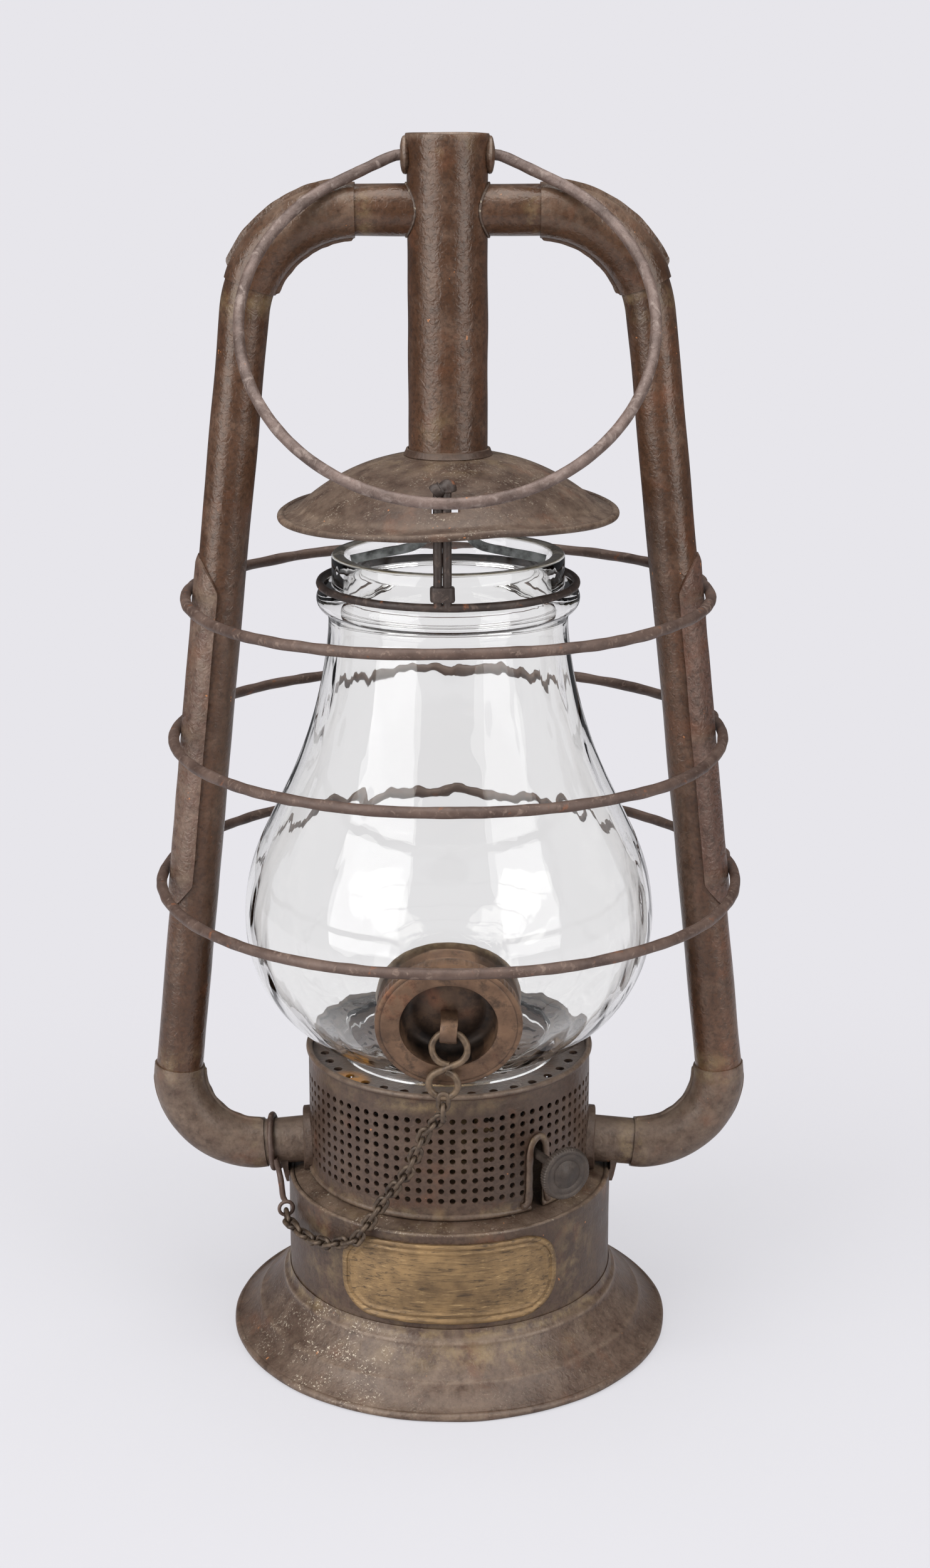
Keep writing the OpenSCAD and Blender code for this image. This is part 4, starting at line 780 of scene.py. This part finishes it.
# Lighting port: a spun copper collar cemented over the hole in the glass, closed by a push-in cap
# with a milled edge, a flat rim and a dished, blackened front with a strap riveted in it.
GLASS_R, CAP_LOW, CAP_FRONT, CAP_R, CAP_TEETH = 66.4, 6.0, 10.6, 23.0, 72
DISH_R, DISH_RING = 15.05, 13.4
copper_finish, shader = new_finish("browned_port_copper")
bloom = grain(95, 6, 0.62)
spots = grain(520, 4, 0.6)
colour = over(stepped(bloom, 0.36, 0.64), (0.095, 0.054, 0.033), (0.188, 0.11, 0.066))
reddish = stepped(grain(60, 5, 0.6), 0.58, 0.74)
colour = over(reddish, colour, (0.3, 0.115, 0.055))
patina = times(stepped(grain(240, 6, 0.7), 0.5, 0.66), 0.75)
colour = over(patina, colour, (0.04, 0.026, 0.019))
soot = times(mark_here("soot"), stepped(bloom, 0.3, 0.66, 1.0, 0.6))
colour = over(soot, colour, (0.01, 0.009, 0.009))
cement = times(mark_here("cement"), stepped(spots, 0.4, 0.6, 0.4, 1.0))
colour = over(cement, colour, (0.3, 0.215, 0.125))
join_sockets(shader, Base_Color=colour, Roughness=stepped(bloom, 0.3, 0.7, 0.34, 0.6),
             Normal=relief(spots, 0.3, 0.25), Metallic=0.6)

collar_section = [(18.0, -7.6), (19.3, -7.6), (19.4, -3.5), (21.4, -3.6), (22.3, -3.4), (22.4, -2.2),
                  (22.0, -0.5), (21.7, 1.0), (21.4, 3.0), (21.0, 4.8), (20.2, 5.7), (18.6, 5.8), (18.0, 5.4)]
port_collar = on_port("port_collar_copper", collar_section, 200)
into_port, port_turn = PORT.inverted(), PORT.to_3x3()
for v in port_collar.data.vertices:
    spot = into_port @ (v.co / MM)
    if spot.xy.length > 20.5 and spot.z < 0:
        drop = GLASS_R - math.sqrt(GLASS_R ** 2 - spot.x ** 2)
        ragged = 0.9 * noise.noise(Vector((spot.x * 0.35, spot.y * 0.35, 4)))
        spread = 0.012 * ragged
        v.co += port_turn @ Vector((spot.x * spread, spot.y * spread, 0.08 * ragged - 0.9 * drop)) * MM
marked(port_collar, "cement",
       lambda x, y, z: near((into_port @ Vector((x, y, z))).xy.length, 22.6, 0.8))
marked(port_collar, "soot", lambda x, y, z: 0.85 * near(abs(x), 15, 9) + 0.3 * (z < 140))
fitted(port_collar, copper_finish, "frame", "port_copper", "port_collar")

cap_section = [(0.0, -2.0), (17.2, -2.0), (17.3, -1.0), (17.3, CAP_LOW), (22.1, CAP_LOW), (22.7, 6.2),
               (CAP_R, 6.8), (CAP_R, 7.9), (CAP_R, 9.0), (22.8, 9.7), (22.2, 10.1), (21.6, 10.2),
               (21.25, 10.05), (20.9, 10.3), (20.2, 10.5), (18.6, CAP_FRONT), (17.0, CAP_FRONT),
               (15.9, 10.5), (15.3, 10.2), (15.1, 9.6), (15.0, 4.3), (14.6, 2.87), (13.9, 1.88),
               (12.6, 1.165), (11.6, 1.055), (10.6, 1.385), (8.4, 2.1), (6.0, 2.705), (4.0, 3.035),
               (2.0, 3.145), (0.0, 3.2)]
cap = on_port("port_cap_copper", cap_section, 288)
for v in cap.data.vertices:
    spot = into_port @ (v.co / MM)
    across = spot.xy.length
    if across > CAP_R - 0.15 and CAP_LOW + 0.5 < spot.z < 9.3:
        mill = 0.32 * (0.5 + 0.5 * math.cos(CAP_TEETH * math.atan2(spot.y, spot.x)))
        v.co -= port_turn @ Vector((spot.x, spot.y, 0)) * (MM * mill / across)
dented(cap, 0.16, 130, 31.0)


def cap_soot(x, y, z):
    spot = into_port @ Vector((x, y, z))
    across = spot.xy.length
    if across > DISH_R:
        return 0.6 * near(across, 21.3, 0.35) * (spot.z > 9)
    deep = near(across, DISH_RING, 4.0) * (0.75 + 0.25 * (spot.y < 2)) + 0.5 * near(spot.y, -9, 9) + 0.52
    return min(1.0, deep) * (spot.z < 10.4)


marked(cap, "soot", cap_soot)
fitted(cap, copper_finish, "cap", "port_copper", "port_cap")


# Cap strap and hook: a strip of copper folded into a loop in the cap's dish, and an S-shaped wire
# hook through it that the chain hangs on.
STRAP_DROP, STRAP_BEND, STRAP_UP, STRAP_ROOT = -3.0, 3.9, 7.4, -1.1
HOOK_Y, HOOK_WIRE, HOOK_TURN = -69.7, 1.1, -64.8
HOOK_TOP, HOOK_TOP_R, HOOK_LOW, HOOK_LOW_R = (0.3, 127.7), 5.5, (-1.7, 115.8), 4.55
strap_line = even((0.9, STRAP_ROOT), (STRAP_DROP + STRAP_BEND, STRAP_UP), 8)
strap_line += arc((STRAP_DROP, STRAP_UP), STRAP_BEND, 0, 180, 26)
strap_line += even((STRAP_DROP - STRAP_BEND, STRAP_UP - 0.6), (STRAP_DROP - STRAP_BEND, STRAP_ROOT), 8)
strap_ring = [(-0.5, -2.4), (-0.3, -2.65), (0.3, -2.65), (0.5, -2.4), (0.56, 0), (0.5, 2.4), (0.3, 2.65),
              (-0.3, 2.65), (-0.5, 2.4), (-0.56, 0)]
strap = swept("cap_strap_fold", [PORT @ Vector((0.25 * math.sin(i * 0.2), y, h))
                                 for i, (y, h) in enumerate(strap_line)], strap_ring, (1, 0, 0), sharp=50)
dented(strap, 0.16, 220, 32.0)
marked(strap, "soot", lambda x, y, z: 0.25)
fitted(strap, copper_finish, "cap", "port_copper", "cap_strap")


def wire_brass(name, dark, pale):
    return mottled(name, (330, 4, 0.6), (0.36, 0.64), dark, pale, (0.36, 0.58), (1200, 2), (0.2, 0.3), 0.4)


hook_line = arc(HOOK_TOP, HOOK_TOP_R, HOOK_TURN + 334, HOOK_TURN, 52)
hook_line += arc(HOOK_LOW, HOOK_LOW_R, HOOK_TURN + 180, HOOK_TURN + 505, 52)
hook = swept("cap_hook_wire", [(x, HOOK_Y + 0.7 * math.sin(i / 9), z)
                               for i, (x, z) in enumerate(hook_line)], circle(HOOK_WIRE, 12), BACK)
dented(hook, 0.14, 340, 33.0)
fitted(hook, wire_brass("worn_hook_brass", (0.05, 0.032, 0.02), (0.152, 0.102, 0.062)), "cap", "wire",
       "cap_hook")


# Chain: small wire links from the hook round the front of the fount to an eye on the left, so the cap isn't
# lost.
LINKS, LINK_HALF, LINK_WIDE, LINK_WIRE = 27, 1.4, 1.55, 0.76
chain_route = [(-1.7, -69.7, 109.96), (-1.7, -69.1, 104.96)]
chain_route += [on_drum(angle, z, r) for r, angle, z in (
    (66.0, -6.3, 98.0), (62.5, -11.9, 82.3), (60.0, -20.2, 70.0), (59.4, -24.9, 62.0), (59.2, -30.8, 53.1),
    (59.2, -41.7, 48.2), (58.8, -52.3, 46.4), (58.8, -60.0, 46.2), (59.0, -66.5, 46.6))]
chain_route.append((-54.62, -21.45, 47.1))
fine = []
for a, b in zip(chain_route, chain_route[1:]):
    fine += [Vector(a).lerp(Vector(b), t / 12) for t in range(12)]
fine.append(Vector(chain_route[-1]))
travel = [0.0]
for a, b in zip(fine, fine[1:]):
    travel.append(travel[-1] + (b - a).length)
link_path = arc((LINK_HALF, 0), LINK_WIDE, -90, 90, 9) + arc((-LINK_HALF, 0), LINK_WIDE, 90, 270, 9)
links = []
for k in range(LINKS):
    reach = travel[-1] * k / (LINKS - 1)
    at = max(i for i in range(len(fine) - 1) if travel[i] <= reach + 1e-6)
    along = (fine[at + 1] - fine[at]).normalized()
    spot = fine[at] + along * (reach - travel[at])
    across = along.cross(Vector((spot.x, spot.y, 0)).normalized()).normalized()
    lay = math.radians(90 * (k % 2) + 14 * noise.noise(Vector((k * 2.3, 0, 5))))
    wide = across * math.cos(lay) + across.cross(along) * math.sin(lay)
    links.append(swept("link", [spot + along * u + wide * v for u, v in link_path], circle(LINK_WIRE, 10),
                       along.cross(wide), True))
chain = joined("cap_chain_links", links)
chain.data.materials.append(wire_brass("dull_chain_brass", (0.034, 0.022, 0.015), (0.112, 0.076, 0.049)))
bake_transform(chain)
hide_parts("cap_chain")


# Chain anchor: one wire looped round the left stub, its tail bent down beside the fount and ending
# in the small eye that holds the chain's last link.
def rusted_wire(name, dark, middle, flake):
    finish, shader = new_finish(name)
    skin = grain(85, 6, 0.65)
    flakes = grain(420, 5, 0.68, 0.5)
    colour = over(stepped(skin, 0.36, 0.64), dark, middle)
    colour = over(stepped(flakes, 0.56, 0.7), colour, flake)
    rust = stepped(grain(230, 4, 0.6), 0.64, 0.72)
    colour = over(rust, colour, (0.17, 0.062, 0.026))
    join_sockets(shader, Base_Color=colour, Roughness=stepped(flakes, 0.3, 0.7, 0.42, 0.66),
                 Normal=relief(flakes, 0.5, 0.45), Metallic=0.15)
    return finish


ANCHOR_R, ANCHOR_WIRE, ANCHOR_STEPS, ANCHOR_FROM, ANCHOR_TURN = 9.05, 1.1, 99, -186, 372
EYE, EYE_R, EYE_WIRE, EYE_TURN = Vector((-55.0, -20.0, 49.5)), 2.4, 0.62, 14.5
guard_iron = rusted_wire("rusted_wire_iron", (0.05, 0.027, 0.019), (0.105, 0.066, 0.05),
                         (0.17, 0.118, 0.092))
stub_dir = Vector((-math.cos(math.radians(6)), 0, -math.sin(math.radians(6))))
stub_spot = Vector((-60.1, 0, 65.1))
stub_up = Vector(BACK).cross(stub_dir).normalized()
loop_line = []
for share in (i / ANCHOR_STEPS for i in range(ANCHOR_STEPS + 1)):
    a = math.radians(ANCHOR_FROM + ANCHOR_TURN * share)
    loop_line.append(stub_spot + Vector(BACK) * (ANCHOR_R * math.sin(a)) + stub_up * (ANCHOR_R * math.cos(a))
                     - stub_dir * (1.9 * share - 0.9))
loop = swept("anchor_loop", loop_line, circle(ANCHOR_WIRE, 12), stub_dir)
tail_spots = [stub_spot + Vector((0.9, -8.6, -2.6)), stub_spot + Vector((2.2, -8.9, -7.6)),
              (-57.0, -12.0, 54.2), (-56.2, -16.8, 52.2), EYE + Vector((0, 0, EYE_R))]
tail = swept("anchor_tail", smooth_line(tail_spots, 12),
             lambda i: circle(1.0 - 0.25 * max(0, i - 40) / 8, 12), (1, 0, 0))
eye_turn = Matrix.Rotation(math.radians(EYE_TURN), 3, "Z")
eye_line = [EYE + eye_turn @ Vector((u, 0, w)) for u, w in circle(EYE_R, 48)]
eye = swept("anchor_eye", eye_line, circle(EYE_WIRE, 12), BACK, True)
anchor = joined("chain_anchor_wire", [loop, tail, eye])
dented(anchor, 0.12, 300, 34.0)
fitted(anchor, guard_iron, "frame", "wire", "chain_anchor")


# Globe holder: a wire ring that lies on the glass bead, with two uprights held together by a small
# wrapped sleeve. They run up through the slot in the hood to a finger piece bent from the wire.
HOLDER_R, HOLDER_Z, HOLDER_WIRE, GRIP_Z, GRIP_R = 41.2, 260.6, 1.3, 297.5, 2.25
UPRIGHTS, UPRIGHT_R, UPRIGHT_Y, SLEEVE_LOW, SLEEVE_TALL = (-3.1, -0.25), 1.42, -41.14, 2.0, 4.6
holder_iron = rusted_wire("dark_holder_iron", (0.02, 0.012, 0.009), (0.05, 0.033, 0.026),
                          (0.1, 0.07, 0.056))
holder_wires = [swept("holder_hoop", [(x, y, HOLDER_Z) for x, y in circle(HOLDER_R, 160)],
                      circle(HOLDER_WIRE, 14), (0, 0, 1), True)]
for x in UPRIGHTS:
    rise = [(x, UPRIGHT_Y, HOLDER_Z + (GRIP_Z - HOLDER_Z) * i / 40) for i in range(41)]
    holder_wires.append(swept("upright", rise, circle(UPRIGHT_R, 14), BACK))
holder_ring = joined("holder_ring_wire", holder_wires)
middle_x = sum(UPRIGHTS) / 2
sleeve_line = [(middle_x, UPRIGHT_Y, HOLDER_Z + SLEEVE_LOW + SLEEVE_TALL * i / 10) for i in range(11)]
sleeve = swept("holder_sleeve_wrap", sleeve_line,
               lambda i: [(1.9 * (u > 0) - 1.9 * (u < 0) + u * 1.9, v * 2.3)
                          for u, v in circle(1 - 0.1 * (i in (0, 10)), 24)], BACK, sharp=50)
grip_line = smooth_line([(middle_x + dx, UPRIGHT_Y + dy, GRIP_Z + dz) for dx, dy, dz in (
    (-2.9, -0.3, -1.3), (-1.9, -0.4, -0.5), (-0.6, 0.0, -0.3), (0.7, 0.1, 0.5), (1.9, 0.1, 0.2),
    (2.3, 0.0, -1.6))], 7)
grip_sizes = []
for i in range(len(grip_line)):
    tip = abs(2 * i / (len(grip_line) - 1) - 1)
    grip_sizes.append(GRIP_R * min(1, 1.7 * math.sqrt(max(0.03, 1 - tip ** 3)))
                      - 0.35 * near(i / len(grip_line), 0.5, 0.16))
grip = swept("holder_knob_grip", grip_line, lambda i: circle(grip_sizes[i], 24), BACK)
for part, depth, node in ((holder_ring, 0.1, "holder_ring"), (sleeve, 0.2, "holder_sleeve"),
                          (grip, 0.5, "holder_knob")):
    dented(part, depth, 190, 35.0)
    fitted(part, holder_iron, "holder", "wire", node)


# Wire guard: three iron rings round the globe. Each side tube carries a strip of thick sheet with
# tapered ends that the rings are soldered to, and a ferrule closes each ring beside the right strip.
GUARD = ((94.71, 162.2), (89.28, 210.8), (84.15, 256.8))
GUARD_WIRE, GUARD_STEPS, FERRULE_R = 1.75, 360, 2.6
STRIP_IN, STRIP_OUT, STRIP_LOW, STRIP_LONG, STRIP_ROWS, STRIP_ACROSS = 7.9, 8.9, 149.2, 120.4, 90, 20
STRIP_SPREAD, STRIP_TAPER, STRIP_EDGE = 88, 11, 0.25
strip_brown = aged_sheet("rough_strip_sheet", (0.06, 0.028, 0.019), (0.095, 0.05, 0.036),
                         (0.14, 0.086, 0.066), (0.32, 0.5), 0.7)
tube_low, tube_high = Vector((91.52, 0, 93.81)), Vector((63.38, 0, 345.88))
tube_dir = (tube_high - tube_low).normalized()
outward = Vector((tube_dir.z, 0, -tube_dir.x))
strip_foot = tube_low.lerp(tube_high, (STRIP_LOW - tube_low.z) / (tube_high.z - tube_low.z))
strip_turns = [2 * k / STRIP_ACROSS - 1 for k in range(STRIP_ACROSS + 1)]
for word, side in SIDES:
    rings = []
    for up in (STRIP_LONG * i / STRIP_ROWS for i in range(STRIP_ROWS + 1)):
        end = min(up, STRIP_LONG - up)
        spread = STRIP_SPREAD * min(1.0, end / STRIP_TAPER + 0.004) ** 0.45
        thick = STRIP_EDGE + (STRIP_OUT - STRIP_IN - STRIP_EDGE) * min(1.0, end / 2.2)
        ring = []
        for r, turns in ((STRIP_IN + thick, strip_turns), (STRIP_IN, strip_turns[::-1])):
            for a in (math.radians(spread * turn) for turn in turns):
                p = strip_foot + tube_dir * up + outward * (r * math.cos(a))
                ring.append((side * p.x, r * math.sin(a), p.z))
        rings.append(ring)
    strip = lofted("guard_strip_sheet_" + word, rings, sharp=36)
    dented(strip, 0.2, 80, 36.0 + side)
    # The left strip is painted paler, as painted light from the left. The paler bands where the rings sit
    # are worn.
    marked(strip, "wear_and_painted_light", lambda x, y, z: 0.4 * (x < 0)
           + 0.5 * near(min(abs(z - ring_z) for _, ring_z in GUARD), 0, 3))
    fitted(strip, strip_brown, "frame", "sheet", "guard_strip_" + word)
ferrules = []
for (ring_r, ring_z), (word, seed, left, right, front) in zip(GUARD, (
        ("low", 41.0, 0.2, 0.6, 0.6), ("middle", 43.0, 0.3, 1.2, 0.9), ("top", 47.0, 1.1, 0.0, 0.5))):
    line = []
    for x, y in circle(1.0, GUARD_STEPS):
        drop = left * max(0, -x) + right * max(0, x) + front * max(0, -y)
        loose = 0.5 * (1 - abs(x) ** 6)
        sag = loose * noise.noise(Vector((x * 1.4, y * 1.4, seed)))
        r = ring_r + loose * noise.noise(Vector((x * 2, y * 2, seed + 9)))
        line.append((r * x, r * y, ring_z + sag - drop * (1 - abs(x) ** 8)))
    hoop = swept("guard_hoop_" + word, line, circle(GUARD_WIRE, 14), (0, 0, 1), True)
    dented(hoop, 0.22, 160, seed)
    fitted(hoop, guard_iron, "frame", "wire", "guard_ring_" + word)
    ferrules.append(swept("ferrule", line[10:16], lambda i: circle(FERRULE_R - 0.45 * (i in (0, 5)), 20),
                          (0, 0, 1)))
ferrules = joined("guard_ferrule_sleeves", ferrules)
dented(ferrules, 0.2, 200, 37.0)
fitted(ferrules, guard_iron, "frame", "wire", "guard_ferrules")


# Bail: the carrying handle, one thick iron wire hammered and bent by hand, whose turned-in ends go
# through the ears. At rest it leans forward and lies on the upper elbows.
BAIL_WIRE, BAIL_LEAN, BAIL_HALF, BAIL_DEEP, BAIL_CURVE, LEG_TURN = 1.72, 39.25, 62.0, 60.0, 58.0, 58.34
bail_leg = even((10.4, 0.0), (14.6, 0.0), 4)
bail_leg += [(14.6, 0.0), (15.9, -0.2), (17.1, -0.7), (18.4, -1.3), (20.0, -2.2)]
bail_leg += even((20.0, -2.2), (34.44, -10.63), 12)[1:]
bail_leg += arc((BAIL_HALF - BAIL_CURVE, -BAIL_DEEP), BAIL_CURVE, LEG_TURN, 0, 30)
bail_line = bail_leg + arc((0, -BAIL_DEEP), BAIL_HALF, 0, -180, 90)[1:-1]
bail_line += [(-x, z) for x, z in bail_leg[::-1]]
lean_turn = Matrix.Translation((0, 0, PIVOT_Z)) @ Matrix.Rotation(math.radians(-BAIL_LEAN), 4, "X")
bail_path = [lean_turn @ Vector((x, 0, z)) for x, z in bail_line]
bail_sizes = [BAIL_WIRE * (1 + 0.07 * noise.noise(Vector((i * 0.35, 2, 8)))) for i in range(len(bail_path))]
bail_sizes[:7] = bail_sizes[-7:] = [BAIL_WIRE - 0.05] * 7
bail = swept("bail_wire", bail_path, lambda i: circle(bail_sizes[i], 20), BACK)
bail_finish, shader = new_finish("hammered_bail_iron")
skin = grain(120, 6, 0.65)
beat = grain(300, 4, 0.6, 0.5)
rust = stepped(grain(240, 4, 0.6), 0.7, 0.74)
colour = over(stepped(skin, 0.36, 0.62), (0.065, 0.04, 0.031), (0.145, 0.1, 0.084))
colour = over(stepped(beat, 0.54, 0.7), colour, (0.22, 0.17, 0.148))
colour = over(rust, colour, (0.34, 0.14, 0.05))
join_sockets(shader, Base_Color=colour, Roughness=stepped(beat, 0.3, 0.7, 0.42, 0.66),
             Normal=relief(beat, 0.8, 0.7), Metallic=0.15)
fitted(bail, bail_finish, "bail", "wire", "bail")


# Studio: a pale floor that runs out into the pale background, two large soft lamps in front and
# one above, and the camera where the photographer stood.
def seen_rays():
    rays = add("ShaderNodeLightPath", {}).outputs
    return add("ShaderNodeMath", {0: rays["Is Camera Ray"], 1: rays["Is Transmission Ray"]},
               operation="MAXIMUM").outputs[0]


FLOOR_R, FLOOR_T, AIM = 900.0, 2.0, Vector((0, 0, 0.2))
floor = turned("studio_floor", [(0.0, -FLOOR_T), (FLOOR_R, -FLOOR_T), (FLOOR_R, 0.0), (600.0, 0.0),
                                (300.0, 0.0), (0.0, 0.0)], 96)
floor_finish, shader = new_finish("pale_floor")
away = add("ShaderNodeVectorMath", {0: work["place"]}, operation="LENGTH").outputs["Value"]
fade = add("ShaderNodeMapRange", {"Value": away, "From Min": 0.09, "From Max": 0.4, "To Min": 0.36,
           "To Max": 0.0}, interpolation_type="SMOOTHSTEP").outputs[0]
height = add("ShaderNodeSeparateXYZ", {0: work["place"]}).outputs["Z"]
fade = times(fade, stepped(height, -0.0015, -0.0005))
join_sockets(shader, Alpha=add("ShaderNodeMix", {0: seen_rays(), 2: 1.0, 3: fade}).outputs[0],
             Base_Color=(0.53, 0.524, 0.547, 1), Roughness=0.85, Specular_IOR_Level=0.1)
floor.data.materials.append(floor_finish)

world = bpy.data.worlds.new("studio_air")
bpy.context.scene.world = world
world.use_nodes = True
work["tree"] = world.node_tree
air = over(seen_rays(), (0.125, 0.125, 0.132), (0.80, 0.79, 0.83))
join_sockets(world.node_tree.nodes["Background"], Color=air)
for name, spot, size, power in (("lamp_left", (-1.3, -1.1, 0.9), (1.4, 2.2), 48),
                                ("lamp_right", (1.25, -1.15, 0.9), (1.1, 2.2), 30),
                                ("lamp_top", (0.0, -0.1, 2.0), (1.8, 1.8), 39)):
    light = bpy.data.lights.new(name, "AREA")
    light.shape, light.size, light.size_y, light.energy = "RECTANGLE", size[0], size[1], power
    lamp = bpy.data.objects.new(name, light)
    bpy.context.scene.collection.objects.link(lamp)
    lamp.location = spot
    lamp.rotation_euler = (AIM - Vector(spot)).to_track_quat("-Z", "Y").to_euler()

lens = bpy.data.cameras.new("photographer")
lens.lens, lens.sensor_width, lens.clip_start = 56.95, 36.0, 0.01
camera = bpy.data.objects.new("photographer", lens)
camera.location = (0.0017, -0.7835, 0.4215)
camera.rotation_euler = (math.radians(73.718), 0.0, math.radians(-0.27))
bpy.context.scene.collection.objects.link(camera)
bpy.context.scene.camera = camera
bpy.context.scene.view_settings.view_transform = "Standard"
